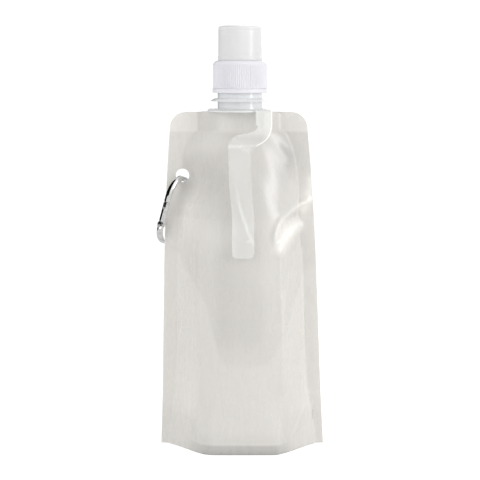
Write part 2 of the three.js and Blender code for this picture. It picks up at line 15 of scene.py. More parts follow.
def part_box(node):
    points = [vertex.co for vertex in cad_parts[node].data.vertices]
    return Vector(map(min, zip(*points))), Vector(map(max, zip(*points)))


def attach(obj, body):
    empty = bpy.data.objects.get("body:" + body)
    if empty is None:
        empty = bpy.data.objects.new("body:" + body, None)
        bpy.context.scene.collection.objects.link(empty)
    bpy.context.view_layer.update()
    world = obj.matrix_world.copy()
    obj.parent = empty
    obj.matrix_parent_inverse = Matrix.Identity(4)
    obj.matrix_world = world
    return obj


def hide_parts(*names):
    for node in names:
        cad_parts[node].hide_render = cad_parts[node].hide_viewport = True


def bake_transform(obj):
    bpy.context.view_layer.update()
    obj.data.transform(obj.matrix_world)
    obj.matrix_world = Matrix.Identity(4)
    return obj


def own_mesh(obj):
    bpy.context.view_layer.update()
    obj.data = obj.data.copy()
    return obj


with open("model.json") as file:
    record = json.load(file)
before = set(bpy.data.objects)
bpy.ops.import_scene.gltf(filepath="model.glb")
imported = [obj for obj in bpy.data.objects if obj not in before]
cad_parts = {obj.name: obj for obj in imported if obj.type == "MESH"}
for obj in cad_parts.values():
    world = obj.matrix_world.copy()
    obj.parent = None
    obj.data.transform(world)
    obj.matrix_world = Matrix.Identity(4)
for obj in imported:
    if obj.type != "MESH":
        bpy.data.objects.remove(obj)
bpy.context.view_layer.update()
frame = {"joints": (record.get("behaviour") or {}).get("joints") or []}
MM = 0.001
JOINTS = {joint["name"]: joint for joint in frame["joints"]}


def cad_box_mm(node):
    """Lowest and highest corners of a CAD node in millimetres."""
    return [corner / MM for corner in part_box(node)]


def joint_place_mm(name):
    return Vector(JOINTS[name]["pos_m"]) / MM


# ---------------------------------------------------------------- shape helpers


def mesh_object(name, verts, faces, sharp=35.0):
    """A smooth-shaded object from points in millimetres, with edges past the angle kept sharp."""
    mesh = bpy.data.meshes.new(name)
    mesh.from_pydata([tuple(c * MM for c in v) for v in verts], [], faces)
    mesh.update()
    obj = bpy.data.objects.new(name, mesh)
    bpy.context.scene.collection.objects.link(obj)
    outward(obj)
    shade(obj, sharp)
    return obj


def outward(obj):
    bm = bmesh.new()
    bm.from_mesh(obj.data)
    bmesh.ops.recalc_face_normals(bm, faces=bm.faces)
    bm.to_mesh(obj.data)
    bm.free()


def shade(obj, sharp=35.0):
    obj.data.shade_smooth()
    obj.data.set_sharp_from_angle(angle=math.radians(sharp))


def rounded(outline, radius, steps=4, closed=True):
    """The outline with its corners turned into short arcs. A point may give its own radius third."""
    count = len(outline)
    result = []
    for i, point in enumerate(outline):
        here = Vector(point[:2])
        size = point[2] if len(point) > 2 else radius
        if not closed and i in (0, count - 1):
            result.append(tuple(here))
            continue
        before = Vector(outline[i - 1][:2]) - here
        after = Vector(outline[(i + 1) % count][:2]) - here
        reach = min(size, 0.45 * before.length, 0.45 * after.length)
        if reach < 1e-3:
            result.append(tuple(here))
            continue
        start = here + before.normalized() * reach
        end = here + after.normalized() * reach
        for k in range(steps + 1):
            t = k / steps
            result.append(tuple(start * (1 - t) ** 2 + here * 2 * t * (1 - t) + end * t * t))
    return result


def turned(name, outline, segments=144, ripple=None, sharp=35.0):
    """A solid turned about +Z from closed [radius, z] points. ripple(angle, r, z) gives a new radius."""
    verts, rings, faces = [], [], []
    for r, z in outline:
        if r < 1e-6:
            rings.append([len(verts)])
            verts.append((0, 0, z))
            continue
        rings.append(list(range(len(verts), len(verts) + segments)))
        for s in range(segments):
            angle = 2 * math.pi * s / segments
            reach = ripple(angle, r, z) if ripple else r
            verts.append((reach * math.cos(angle), reach * math.sin(angle), z))
    count = len(rings)
    for i in range(count):
        a, b = rings[i], rings[(i + 1) % count]
        if len(a) == 1 and len(b) == 1:
            continue
        for s in range(segments):
            t = (s + 1) % segments
            if len(a) == 1:
                faces.append((a[0], b[s], b[t]))
            elif len(b) == 1:
                faces.append((a[s], a[t], b[0]))
            else:
                faces.append((a[s], a[t], b[t], b[s]))
    return mesh_object(name, verts, faces, sharp)


def loft(name, sections, sharp=35.0):
    """A closed solid through sections that all have the same number of points."""
    count = len(sections[0])
    verts = [tuple(p) for section in sections for p in section]
    faces = []
    for i in range(len(sections) - 1):
        for j in range(count):
            a, b = i * count + j, i * count + (j + 1) % count
            faces.append((a, b, b + count, a + count))
    faces.append(tuple(range(count)))
    faces.append(tuple((len(sections) - 1) * count + j for j in reversed(range(count))))
    return mesh_object(name, verts, faces, sharp)


def tube(name, points, radius, sides=24, sharp=40.0):
    """A rod along points, with frames carried from one point to the next."""
    points = [Vector(p) for p in points]
    last = len(points) - 1
    tangents = [(points[min(i + 1, last)] - points[max(i - 1, 0)]).normalized() for i in range(last + 1)]
    normal = tangents[0].orthogonal().normalized()
    sections = []
    for point, tangent in zip(points, tangents):
        normal = (normal - tangent * normal.dot(tangent)).normalized()
        side = tangent.cross(normal)
        ring = [math.cos(a) * normal + math.sin(a) * side for a in full_turn(sides)]
        sections.append([point + radius * p for p in ring])
    return loft(name, sections, sharp)


def through(points, steps):
    """A smooth run through points (Catmull-Rom), with steps pieces between each pair."""
    points = [Vector(p) for p in points]
    padded = [2 * points[0] - points[1], *points, 2 * points[-1] - points[-2]]
    result = []
    for i in range(len(points) - 1):
        p0, p1, p2, p3 = padded[i : i + 4]
        for k in range(steps):
            t = k / steps
            curve = 2 * p1 + (p2 - p0) * t + (2 * p0 - 5 * p1 + 4 * p2 - p3) * t**2
            result.append(0.5 * (curve + (3 * p1 - p0 - 3 * p2 + p3) * t**3))
    return [*result, points[-1]]


def joined(name, *objects):
    """One object holding the meshes of several."""
    bm = bmesh.new()
    for obj in objects:
        bm.from_mesh(obj.data)
    mesh = bpy.data.meshes.new(name)
    bm.to_mesh(mesh)
    bm.free()
    for obj in objects:
        bpy.data.objects.remove(obj)
    result = bpy.data.objects.new(name, mesh)
    bpy.context.scene.collection.objects.link(result)
    return result


def boolean(obj, tool, operation, sharp=35.0):
    """Cuts or joins obj by tool, which is used up."""
    change = obj.modifiers.new("cut", "BOOLEAN")
    change.operation = operation
    change.solver = "EXACT"
    change.object = tool
    graph = bpy.context.evaluated_depsgraph_get()
    mesh = bpy.data.meshes.new_from_object(obj.evaluated_get(graph))
    obj.modifiers.clear()
    obj.data = mesh
    bpy.data.objects.remove(tool)
    shade(obj, sharp)
    return obj


def smoothstep(low, high, value):
    t = np.clip((value - low) / (high - low), 0, 1)
    return t * t * (3 - 2 * t)


def full_turn(count):
    return [2 * math.pi * k / count for k in range(count)]


def vertex_places(obj):
    """The mesh's points in millimetres, one to a row."""
    places = np.empty(len(obj.data.vertices) * 3)
    obj.data.vertices.foreach_get("co", places)
    return places.reshape(-1, 3) / MM


def store_values(obj, name, values):
    """Stores one number for each point of the mesh, where the material reads it."""
    attribute = obj.data.attributes.new(name, "FLOAT", "POINT")
    attribute.data.foreach_set("value", values.astype(np.float32))


def sheet_faces(rows, columns):
    """Faces of a thin closed sheet: two layers of points, row by row, joined round their rim."""
    wide = columns + 1
    layer = (rows + 1) * wide
    faces = []
    for base in (0, layer):
        for i in range(rows):
            for j in range(columns):
                a = base + i * wide + j
                faces.append((a, a + 1, a + wide + 1, a + wide))
    rim = [*range(wide), *range(2 * wide - 1, layer, wide)]
    rim += [*range(layer - 2, layer - wide - 1, -1), *range(layer - 2 * wide, 0, -wide)]
    for a, b in zip(rim, rim[1:] + rim[:1]):
        faces.append((a, b, b + layer, a + layer))
    return faces


def along(stations, place):
    """Smooth values through [place, value] stations, without overshoot."""
    at, value = np.array(stations, float).T
    slope = np.diff(value) / np.diff(at)
    tangent = np.concatenate(([slope[0]], np.zeros(len(at) - 2), [slope[-1]]))
    for i in range(1, len(at) - 1):
        a, b = slope[i - 1], slope[i]
        tangent[i] = 0 if a * b <= 0 else 2 * a * b / (a + b)
    place = np.clip(place, at[0], at[-1])
    i = np.clip(np.searchsorted(at, place, side="right") - 1, 0, len(at) - 2)
    width = at[i + 1] - at[i]
    t = (place - at[i]) / width
    return (
        (2 * t**3 - 3 * t**2 + 1) * value[i]
        + (t**3 - 2 * t**2 + t) * width * tangent[i]
        + (3 * t**2 - 2 * t**3) * value[i + 1]
        + (t**3 - t**2) * width * tangent[i + 1]
    )


# ---------------------------------------------------------------- materials


CLOUD_SCALE, GRAIN_SCALE = 90, 2500  # moulded plastic's noise, in waves per metre


def new_material(name):
    material = bpy.data.materials.new(name)
    material.use_nodes = True
    nodes = material.node_tree.nodes
    return material, nodes, material.node_tree.links, nodes["Principled BSDF"]


def add_noise(nodes, links, scale, detail=3.0, stretch=(1, 1, 1)):
    """Noise in the object's own space. scale is in waves per metre."""
    place = nodes.new("ShaderNodeTexCoord")
    mapping = nodes.new("ShaderNodeMapping")
    mapping.inputs["Scale"].default_value = stretch
    links.new(place.outputs["Object"], mapping.inputs["Vector"])
    texture = nodes.new("ShaderNodeTexNoise")
    texture.inputs["Scale"].default_value = scale
    texture.inputs["Detail"].default_value = detail
    links.new(mapping.outputs["Vector"], texture.inputs["Vector"])
    return texture.outputs["Fac"]


def add_ramp(nodes, links, factor, stops):
    ramp = nodes.new("ShaderNodeValToRGB")
    elements = ramp.color_ramp.elements
    while len(elements) < len(stops):
        elements.new(0.5)
    for element, (place, colour) in zip(elements, stops):
        element.position = place
        element.color = (*colour, 1) if len(colour) == 3 else colour
    links.new(factor, ramp.inputs["Fac"])
    return ramp.outputs["Color"]


def add_bump(nodes, links, height, strength, distance, normal=None):
    bump = nodes.new("ShaderNodeBump")
    bump.inputs["Strength"].default_value = strength
    bump.inputs["Distance"].default_value = distance
    links.new(height, bump.inputs["Height"])
    if normal:
        links.new(normal, bump.inputs["Normal"])
    return bump.outputs["Normal"]


def grey(value):
    return (value, value, value)


def let_light_through(material, share, colour):
    """Mixes in a translucent layer, so that light from behind brightens the piece."""
    nodes, links = material.node_tree.nodes, material.node_tree.links
    shader, output = nodes["Principled BSDF"], nodes["Material Output"]
    glow = nodes.new("ShaderNodeBsdfTranslucent")
    glow.inputs["Color"].default_value = (*colour, 1)
    mix = nodes.new("ShaderNodeMixShader")
    mix.inputs["Fac"].default_value = share
    links.new(shader.outputs["BSDF"], mix.inputs[1])
    links.new(glow.outputs["BSDF"], mix.inputs[2])
    links.new(mix.outputs["Shader"], output.inputs["Surface"])


def plastic(name, light, dark, rough, alpha=1.0, bump=0.08, coat=0.0, depth=0.0):
    """Moulded plastic: faint cloudy colour, rubbed roughness and a fine moulded grain."""
    material, nodes, links, shader = new_material(name)
    cloud = add_noise(nodes, links, CLOUD_SCALE, 4)
    links.new(add_ramp(nodes, links, cloud, [(0.3, dark), (0.7, light)]), shader.inputs["Base Color"])
    rub = add_noise(nodes, links, CLOUD_SCALE * 3, 5)
    spread = [(0.3, grey(rough * 0.85)), (0.7, grey(min(1, rough * 1.2)))]
    links.new(add_ramp(nodes, links, rub, spread), shader.inputs["Roughness"])
    fine = add_noise(nodes, links, GRAIN_SCALE, 2)
    links.new(add_bump(nodes, links, fine, bump, 0.0002), shader.inputs["Normal"])
    shader.inputs["Alpha"].default_value = alpha
    shader.inputs["Coat Weight"].default_value = coat
    shader.inputs["Coat Roughness"].default_value = 0.08
    shader.inputs["Subsurface Weight"].default_value = depth
    shader.inputs["Subsurface Radius"].default_value = (0.004, 0.004, 0.004)
    shader.inputs["Subsurface Scale"].default_value = 1.0
    return material


def film_material(name, alpha, light, dark):
    """Milky film: soft streaks along its length, made lighter or darker by the tone stored on the mesh, which
    is mostly painted light, shade and highlights.
    """
    material, nodes, links, shader = new_material(name)
    streak = add_noise(nodes, links, 24, 2, (1, 1, 0.35))
    colour = add_ramp(nodes, links, streak, [(0.3, dark), (0.7, light)])
    tone = nodes.new("ShaderNodeAttribute")
    tone.attribute_name = "tone"
    scaled = nodes.new("ShaderNodeVectorMath")
    scaled.operation = "SCALE"
    links.new(colour, scaled.inputs[0])
    links.new(tone.outputs["Fac"], scaled.inputs["Scale"])
    links.new(scaled.outputs["Vector"], shader.inputs["Base Color"])
    rub = add_noise(nodes, links, 220, 5, (1, 1, 0.4))
    spread = [(0.3, grey(0.26)), (0.75, grey(0.29))]
    links.new(add_ramp(nodes, links, rub, spread), shader.inputs["Roughness"])
    skin = add_noise(nodes, links, 900, 3)
    sag = add_noise(nodes, links, 45, 2, (1, 1, 0.6))
    soft = add_bump(nodes, links, sag, 0.04, 0.0012)
    links.new(add_bump(nodes, links, skin, 0.08, 0.0002, soft), shader.inputs["Normal"])
    shader.inputs["Alpha"].default_value = alpha
    shader.inputs["Specular IOR Level"].default_value = 0.55
    return material


def metal(name, colour, rough, scratch=0.05):
    """Polished metal with fine rubbed scratches and uneven gloss."""
    material, nodes, links, shader = new_material(name)
    cloud = add_noise(nodes, links, 400, 4)
    dull = tuple(c * 0.82 for c in colour)
    links.new(add_ramp(nodes, links, cloud, [(0.35, dull), (0.65, colour)]), shader.inputs["Base Color"])
    rub = add_noise(nodes, links, 1500, 5, (1, 1, 0.1))
    spread = [(0.3, grey(rough)), (0.75, grey(rough * 2.2))]
    links.new(add_ramp(nodes, links, rub, spread), shader.inputs["Roughness"])
    links.new(add_bump(nodes, links, rub, scratch, 0.0001), shader.inputs["Normal"])
    shader.inputs["Metallic"].default_value = 1.0
    return material


def paint_fold_highlights(material, clear, white):
    """Clear sheet made less clear, and so whiter, where its mesh stores painted highlights on folds."""
    nodes, links = material.node_tree.nodes, material.node_tree.links
    fold = nodes.new("ShaderNodeAttribute")
    fold.attribute_name = "fold"
    cover = nodes.new("ShaderNodeMapRange")
    cover.inputs["To Min"].default_value = clear
    cover.inputs["To Max"].default_value = white
    links.new(fold.outputs["Fac"], cover.inputs["Value"])
    links.new(cover.outputs["Result"], nodes["Principled BSDF"].inputs["Alpha"])


def paint_edge_glow(material, strength):
    """Cut edges of clear sheet, given a painted glow so that they show bright."""
    shader = material.node_tree.nodes["Principled BSDF"]
    shader.inputs["Emission Color"].default_value = (1, 1, 0.98, 1)
    shader.inputs["Emission Strength"].default_value = strength


FILM = film_material("milky_film", 0.92, (0.78, 0.762, 0.727), (0.77, 0.752, 0.717))
# painted shade: the base film is a darker copy of the milky film, for the foot that faces down
SHADED_GUSSET_FILM = film_material("gusset_film", 0.92, (0.66, 0.645, 0.62), (0.61, 0.6, 0.57))
SPOUT = plastic("spout_plastic", (0.93, 0.95, 0.965), (0.90, 0.92, 0.935), 0.22, depth=0.4, coat=0.2)
CAP = plastic("cap_plastic", (0.80, 0.793, 0.84), (0.785, 0.778, 0.825), 0.42, depth=0.2)
NOZZLE = plastic("nozzle_plastic", (0.86, 0.86, 0.87), (0.83, 0.83, 0.84), 0.3, depth=0.2)
COVER = plastic("frosted_cover", (0.93, 0.93, 0.93), (0.90, 0.90, 0.90), 0.36, 0.86, coat=0.25)
STRAP = plastic("strap_plastic", (0.97, 0.97, 0.955), (0.93, 0.93, 0.915), 0.16, coat=0.5, bump=0.03)
# painted highlight: a brighter, glowing copy of the strap plastic for its upper outer cut edge
STRAP_EDGE_GLOW = plastic("strap_cut_edge_glow", (1.0, 1.0, 0.99), (0.95, 0.95, 0.94), 0.2, 0.9, coat=0.5, bump=0.03)
SEAL = plastic("seal_rubber", (0.62, 0.62, 0.60), (0.55, 0.55, 0.53), 0.6)
CHROME = metal("polished_metal", (0.9, 0.9, 0.91), 0.06)
SPRING = metal("spring_wire", (0.55, 0.56, 0.58), 0.22, 0.1)
let_light_through(FILM, 0.12, (0.95, 0.93, 0.9))
let_light_through(SPOUT, 0.12, (0.95, 0.97, 0.98))
let_light_through(COVER, 0.2, (0.97, 0.97, 0.97))
let_light_through(STRAP, 0.2, (0.95, 0.95, 0.94))
paint_fold_highlights(STRAP, 0.2, 0.8)
paint_edge_glow(STRAP_EDGE_GLOW, 0.08)


def finish_piece(obj, material, slot, body, *nodes, rides=True):
    """Gives a piece its material and lets it stand for CAD nodes on a body. The slot argument is not used."""
    for one in material if isinstance(material, tuple) else (material,):
        obj.data.materials.append(one)
    if nodes:
        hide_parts(*nodes)
    if rides:
        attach(obj, body)
    return obj


# ---------------------------------------------------------------- pouch

FILM_LOW, FILM_HIGH = cad_box_mm("pouch_front_panel")
POUCH_TOP = FILM_HIGH.z
TOP_CORNER = 9.0
LEAN = (1.35, -0.95)  # sideways place of the middle line, at the base and at the top
HALF_WIDTHS = [(0, 50.7), (39, 49.05), (77, 47.9), (122, 46.4), (167, 44.1), (208, 40.9)]
BULGES = [
    (0, 27.3), (6, 27.5), (60, 27.4), (100, 26), (133, 24),
    (163, 19), (183, 13.4), (195.5, 10.5), (208, 10.5),
]
FOOT = {"flat": 0.38, "out": 1.1, "bow": 0.04, "height": 45}  # the base's flat front, in half widths
SIDE_SEAL, CORNER_SEAL = 8.5, 4.0
UNDERTURN = {"depth": 2.4, "height": 6.2}  # the filled front curls in just above the ground
SHOULDER = (152.0, 195.5)  # where the bulge narrows to the spout's base
BOAT_HALF = 24.5
SEALED_GAP = 0.15
SHEET = 0.35  # thickness of a film
HOLE = joint_place_mm("hook_swing")
HOLE_R = 4.15
ISLAND = (6.5, 21.0)  # radii where the sealed patch round the hole ends and has faded out
CREASE = 0.65  # the front face's creases, as a share of the bulge's half width
TOP_SEAL = 195.2
FILL_LEVEL = 143.5
FILM_COLUMNS, FILM_ROWS = 170, 300
PALE_CURVE = [(-40, 122), (-22, 96), (-9, 57), (15, 56), (27, 75), (40, 112)]  # top of the pale lower front


def middle_at(z):
    return LEAN[0] + (LEAN[1] - LEAN[0]) * z / POUCH_TOP


def half_width_at(z):
    rise = np.maximum(0, z - (POUCH_TOP - TOP_CORNER))
    return along(HALF_WIDTHS, z) - (TOP_CORNER - np.sqrt(np.maximum(0, TOP_CORNER**2 - rise**2)))


def bulge_half_width(z):
    seal = CORNER_SEAL + (SIDE_SEAL - CORNER_SEAL) * smoothstep(0, 45, z)
    full = along(HALF_WIDTHS, np.minimum(z, SHOULDER[0])) - seal
    rise = np.clip((z - SHOULDER[0]) / (SHOULDER[1] - SHOULDER[0]), 0, 1)
    return BOAT_HALF + (full - BOAT_HALF) * np.sqrt(1 - rise**2)


def ridge(x, z, start, end, width, height):
    """A soft raised line between two points, fading out at its ends."""
    start, end = np.array(start, float), np.array(end, float)
    run = end - start
    length = np.hypot(*run)
    place = ((x - start[0]) * run[0] + (z - start[1]) * run[1]) / length**2
    near = np.clip(place, 0, 1)
    off = np.hypot(x - start[0] - near * run[0], z - start[1] - near * run[1])
    fade = smoothstep(-0.15, 0.2, place) * (1 - smoothstep(0.8, 1.15, place))
    return height * np.exp(-((off / width) ** 2)) * fade


def ridge_line(x, z, points, width, height):
    """A soft raised line through several points, fading out at both ends."""
    points = np.array(points, float)
    runs = np.diff(points, axis=0)
    lengths = np.hypot(*runs.T)
    starts = np.concatenate(([0], np.cumsum(lengths)))
    nearest, place = np.inf, 0
    for start, run, length, before in zip(points, runs, lengths, starts):
        t = np.clip(((x - start[0]) * run[0] + (z - start[1]) * run[1]) / length**2, 0, 1)
        off = np.hypot(x - start[0] - t * run[0], z - start[1] - t * run[1])
        place = np.where(off < nearest, (before + t * length) / starts[-1], place)
        nearest = np.minimum(off, nearest)
    fade = smoothstep(0, 0.2, place) * (1 - smoothstep(0.75, 1, place))
    return height * np.exp(-((nearest / width) ** 2)) * fade


def waves(x, z, turn, length, seed):
    """Uneven ripples across the direction turn (degrees), built from three sines."""
    angle = math.radians(turn)
    run = x * math.cos(angle) + z * math.sin(angle)
    side = z * math.cos(angle) - x * math.sin(angle)
    total = 0
    for k, (share, weight) in enumerate([(1.0, 1.0), (0.62, 0.6), (1.71, 0.5)]):
        wander = 1.3 * np.sin(side / (9.0 + 3 * k) + seed * (k + 1.7))
        total = total + weight * np.sin(2 * math.pi * run / (length * share) + wander + seed * (2.3 + k))
    return total / 2.1


def bottom_seal_height(across):
    """Height of the curved seal between a film and the gusset, by the distance from the middle."""
    return 6.5 + 26 * smoothstep(24, 44, across)


def film_shape(x, z):
    """The smooth form of one film: rounded up high, creased half way, and flat-fronted at the foot."""
    lean = middle_at(z) * (1 - smoothstep(*SHOULDER, z))
    across = np.abs(x - lean) / bulge_half_width(z)
    power = 2.6 - 0.5 * smoothstep(120, 190, z)
    plain = np.maximum(0, 1 - across**power)
    face = 1 - 0.16 * (across / CREASE) ** 2.2
    flank = 0.84 * (1 - across) / (1 - CREASE)
    creased = np.maximum(0, 0.5 * (face + flank - np.sqrt((face - flank) ** 2 + 0.0009)))
    share = 0.8 * smoothstep(10, 45, z) * (1 - smoothstep(120, 160, z))
    rest = 1 - smoothstep(FOOT["flat"], FOOT["out"], 1.0)
    foot = 1 - smoothstep(FOOT["flat"], FOOT["out"], across)
    foot = np.where(across < 1, foot - (rest - FOOT["bow"]) * across**6 - FOOT["bow"] * across**2, 0)
    low = smoothstep(0, FOOT["height"], z)
    mixed = plain * (1 - share) + creased * share
    full = along(BULGES, z) - UNDERTURN["depth"] * np.clip(1 - z / UNDERTURN["height"], 0, 1) ** 2
    return full * (mixed * low + np.maximum(0, foot) * (1 - low)), across


HIGH_FOLD = [
    (48, 158), (44.2, 154.5), (37.1, 151), (31, 147), (26, 143.7), (22.8, 139), (21.4, 134.6), (20.6, 124),
]
LOW_FOLD = [(40, 139.5), (33.9, 137.6), (28, 132.5), (23.4, 124.4), (21.6, 119)]
# lines where the film gets painted highlights: down the right flank, and at the right edge below the top
# corner
FLANK_HIGHLIGHT = [(27, 106), (26.6, 100), (26, 85), (25.6, 70)]
EDGE_HIGHLIGHT = [(45, 172), (43, 160), (40, 152), (37, 140)]
FRONT_CREASES = [  # start, end, width and height
    ((25.5, 126), (24.6, 100), 2.2, 0.5), ((35, 124), (30, 108), 3.0, -0.9),
    ((24.6, 100), (27.2, 70), 1.8, 0.6), ((27.2, 70), (24.9, 34), 1.8, 0.6),
    ((24.9, 34), (23.2, 1), 1.6, 0.9), ((-25, 120), (-25, 72), 1.7, 0.6),
    ((-34, 150), (-22, 141), 2.2, 0.6), ((-40.5, 31), (-26.3, 12.5), 1.1, 1.0),
    ((-26.3, 12.5), (-22, 2), 1.2, 0.9), ((41, 28), (33, 9), 1.1, 0.8), ((-38, 14), (-33, 9), 1.4, 0.6),
]
BACK_CREASES = [
    ((-40, 150), (-24, 132), 2.0, 1.2), ((30, 146), (18, 128), 2.4, 0.9), ((-20, 70), (18, 52), 4.0, -0.8),
    ((36, 29), (24, 8), 1.3, 0.9), ((-38, 27), (-30, 9), 1.3, 0.8),
]
LIGHT_AND_SHADE_SPOTS = [  # place, reach, and how much lighter or darker the film is there: painted light where the flange and the hook shade the film, painted shade on the right shoulder's lit band, painted highlights beside the right folds, and smaller lighter and darker patches
    ((-12, 168), (15, 16), -0.09), ((-14, 188), (14, 6), 0.09), ((-36, 150), (13, 18), 0.14),
    ((28, 180), (7, 14), -0.2), ((32, 160), (5, 9), 0.06), ((-14, 132), (12, 8), 0.06),
    ((-31, 34), (10, 20), 0.05), ((27.5, 136), (6, 6), 0.16), ((14, 112), (9, 14), 0.03),
]


def edge_folds(x, z):
    """The two folds that run from the front film's right edge into the bulge below the shoulder."""
    free = smoothstep(0, 3, half_width_at(z) - np.abs(x - middle_at(z)))
    high = ridge_line(x, z, HIGH_FOLD, 2.0, 2.3) - ridge(x, z, (40, 148), (30, 139), 2.6, 1.3)
    low = ridge_line(x, z, LOW_FOLD, 3.0, 2.0) - ridge(x, z, (38, 132), (30, 118), 3.0, 0.9)
    return free * (high + low)


def creases(x, z, side):
    """Raised lines and hollows of a filled film."""
    return sum(ridge(x, z, *line) for line in (FRONT_CREASES if side < 0 else BACK_CREASES))


def seal_crinkles(x, z, across, side):
    """Short uneven crinkles where the bulge pulls on the side seals, in patches up the height."""
    near = np.exp(-(((across - 0.86) / 0.09) ** 2)) * smoothstep(0, 0.1, 1 - across)
    swell = np.sin(z / 17.0 + 1.5 * side) + 0.6 * np.sin(z / 7.3 + x / 30)
    patches = 0.35 + 0.65 * smoothstep(-0.2, 0.8, swell)
    first = waves(x, z, 62 if side < 0 else 75, 13, 1.0 + side)
    second = waves(x, z, 118, 9.5, 4.2) * smoothstep(-20, -34, x) * smoothstep(40, 60, z)
    return near * patches * (0.42 * first + 0.3 * second)


def weld_marks(x, z, across):
    """The raised edges of the side seals, the top seal and the curved base seal."""
    seam = 0.18 * np.exp(-(((across - 1.01) * bulge_half_width(z) / 0.7) ** 2)) * (z < TOP_SEAL)
    level = 0.22 * np.exp(-(((z - TOP_SEAL) / 0.6) ** 2)) * (across < 1.6)
    curved = 0.2 * np.exp(-(((z - bottom_seal_height(np.abs(x))) / 0.8) ** 2)) * (np.abs(x) < 46)
    return seam + level + curved


def film_offset(x, z, side):
    """How far the film's inner face stands off the sealed plane."""
    shape, across = film_shape(x, z)
    inside = smoothstep(0, 0.12, 1 - across)
    foot_free = smoothstep(3, 14, z)
    shape = shape + seal_crinkles(x, z, across, side) * foot_free
    shape = shape + inside * 0.22 * waves(x, z, 20, 46, 2.0 + side) * smoothstep(10, 40, z)
    shoulder = smoothstep(142, 162, z) * (1 - smoothstep(186, 194, z)) * inside
    shape = shape + shoulder * 0.35 * waves(x, z, 25 if side < 0 else -18, 19, 0.6 + side)
    shape = shape + inside * creases(x, z, side)
    shape = shape * smoothstep(*ISLAND, np.hypot(x - HOLE.x, z - HOLE.z))
    folds = edge_folds(x, z) if side < 0 else 0
    return np.maximum(shape + folds, 0) + weld_marks(x, z, across)


def film_light_and_tone(x, z, side):
    """How light the film is: clouded below the fill level, with painted highlights along the right folds and
    flank, lighter flanks, and painted light and shade in spots, under the flange, at the foot and in the base
    corners.
    """
    tone = 1 - 0.035 * smoothstep(FILL_LEVEL - 1, FILL_LEVEL + 1, z)
    for (spot_x, spot_z), (wide, high), change in LIGHT_AND_SHADE_SPOTS:
        tone = tone + change * np.exp(-(((x - spot_x) / wide) ** 2) - ((z - spot_z) / high) ** 2)
    tone = tone - 0.065 * smoothstep(18, 10, np.abs(x)) * smoothstep(60, 75, z) * smoothstep(135, 115, z)
    # painted light under the spout's flange, where the flange shades the film
    tone = tone + 0.13 * smoothstep(16, 9, np.abs(x + 1)) * smoothstep(194, 197, z)
    # painted highlight along the top seal's lower edge
    tone = tone + 0.06 * np.exp(-(((z - TOP_SEAL) / 0.6) ** 2)) * smoothstep(28, 24, np.abs(x))
    sealed = smoothstep(0.94, 1.06, np.abs(x - middle_at(z)) / bulge_half_width(z))
    tone = tone + (0.05 + 0.06 * (x < 0)) * sealed + 0.11 * sealed * smoothstep(194, 196, z)
    curve = along(PALE_CURVE, x * -side)
    tone = tone + 0.06 * smoothstep(curve + 3, curve - 4, z)
    # painted shade on the foot, where the front curls in just above the ground
    foot_painted_shade = 0.18 * smoothstep(7.4, 6.0, z) + 0.05 * smoothstep(16, 9, z)
    tone = tone - foot_painted_shade * (1 - smoothstep(20, 34, np.abs(x)))
    across = np.abs(x) / bulge_half_width(z)
    tone = tone + 0.03 * smoothstep(0.6, 0.75, across) * (z < FILL_LEVEL)
    if side < 0:
        # painted highlights along the right-hand folds, at the right edge and down the right flank
        tone = tone + ridge_line(x, z, HIGH_FOLD, 2.0, 0.16) + ridge_line(x, z, LOW_FOLD, 3.8, 0.3)
        tone = tone + ridge_line(x, z, EDGE_HIGHLIGHT, 3.4, 0.28) + ridge_line(x, z, FLANK_HIGHLIGHT, 1.3, 0.08)
        # painted light on the right flank below the shoulder, the side lit by the key lamp
        tone = tone + 0.04 * smoothstep(36, 40, x) * (z < SHOULDER[0])
    # painted shade in the base corners, towards the sides
    corner = smoothstep(44, 34, z + 0.6 * (np.abs(x) - 46)) * smoothstep(1.05, 0.75, (z + 4) / 30)
    return tone - 0.05 * corner * smoothstep(24, 28, np.abs(x))


def store_light_and_tone(panel, side):
    """Stores the film's tone, mostly painted light, shade and highlights, on its mesh."""
    places = vertex_places(panel)
    store_values(panel, "tone", film_light_and_tone(places[:, 0], places[:, 2], side))


def film_panel(name, side):
    """One film as a thin closed shell, with the hook's hole punched through."""
    z = np.linspace(FILM_LOW.z, POUCH_TOP, FILM_ROWS + 1)[:, None] + np.zeros((1, FILM_COLUMNS + 1))
    share = np.linspace(-1, 1, FILM_COLUMNS + 1)[None, :]
    x = middle_at(z) + half_width_at(z) * share
    inner = SEALED_GAP + film_offset(x, z, side)
    heights = [inner + SHEET, inner]
    verts = [p for y in heights for p in zip(x.ravel(), (side * y).ravel(), z.ravel())]
    panel = mesh_object(name, verts, sheet_faces(FILM_ROWS, FILM_COLUMNS), 50)
    return boolean(panel, cross_pin(HOLE, Vector((0, 1, 0)), HOLE_R, 6, 48), "DIFFERENCE", 50)


def cross_pin(centre, axis, radius, length, sides=32):
    """A plain cylinder, used as a tool for holes and pins."""
    axis = axis.normalized()
    out = axis.orthogonal().normalized()
    side = axis.cross(out)
    ring = [radius * (math.cos(a) * out + math.sin(a) * side) for a in full_turn(sides)]
    ends = (-length / 2, length / 2)
    return loft("pin_tool", [[centre + axis * end + p for p in ring] for end in ends])


def flatten_with(panel):
    """Bakes the film's placement into its mesh."""
    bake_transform(panel)


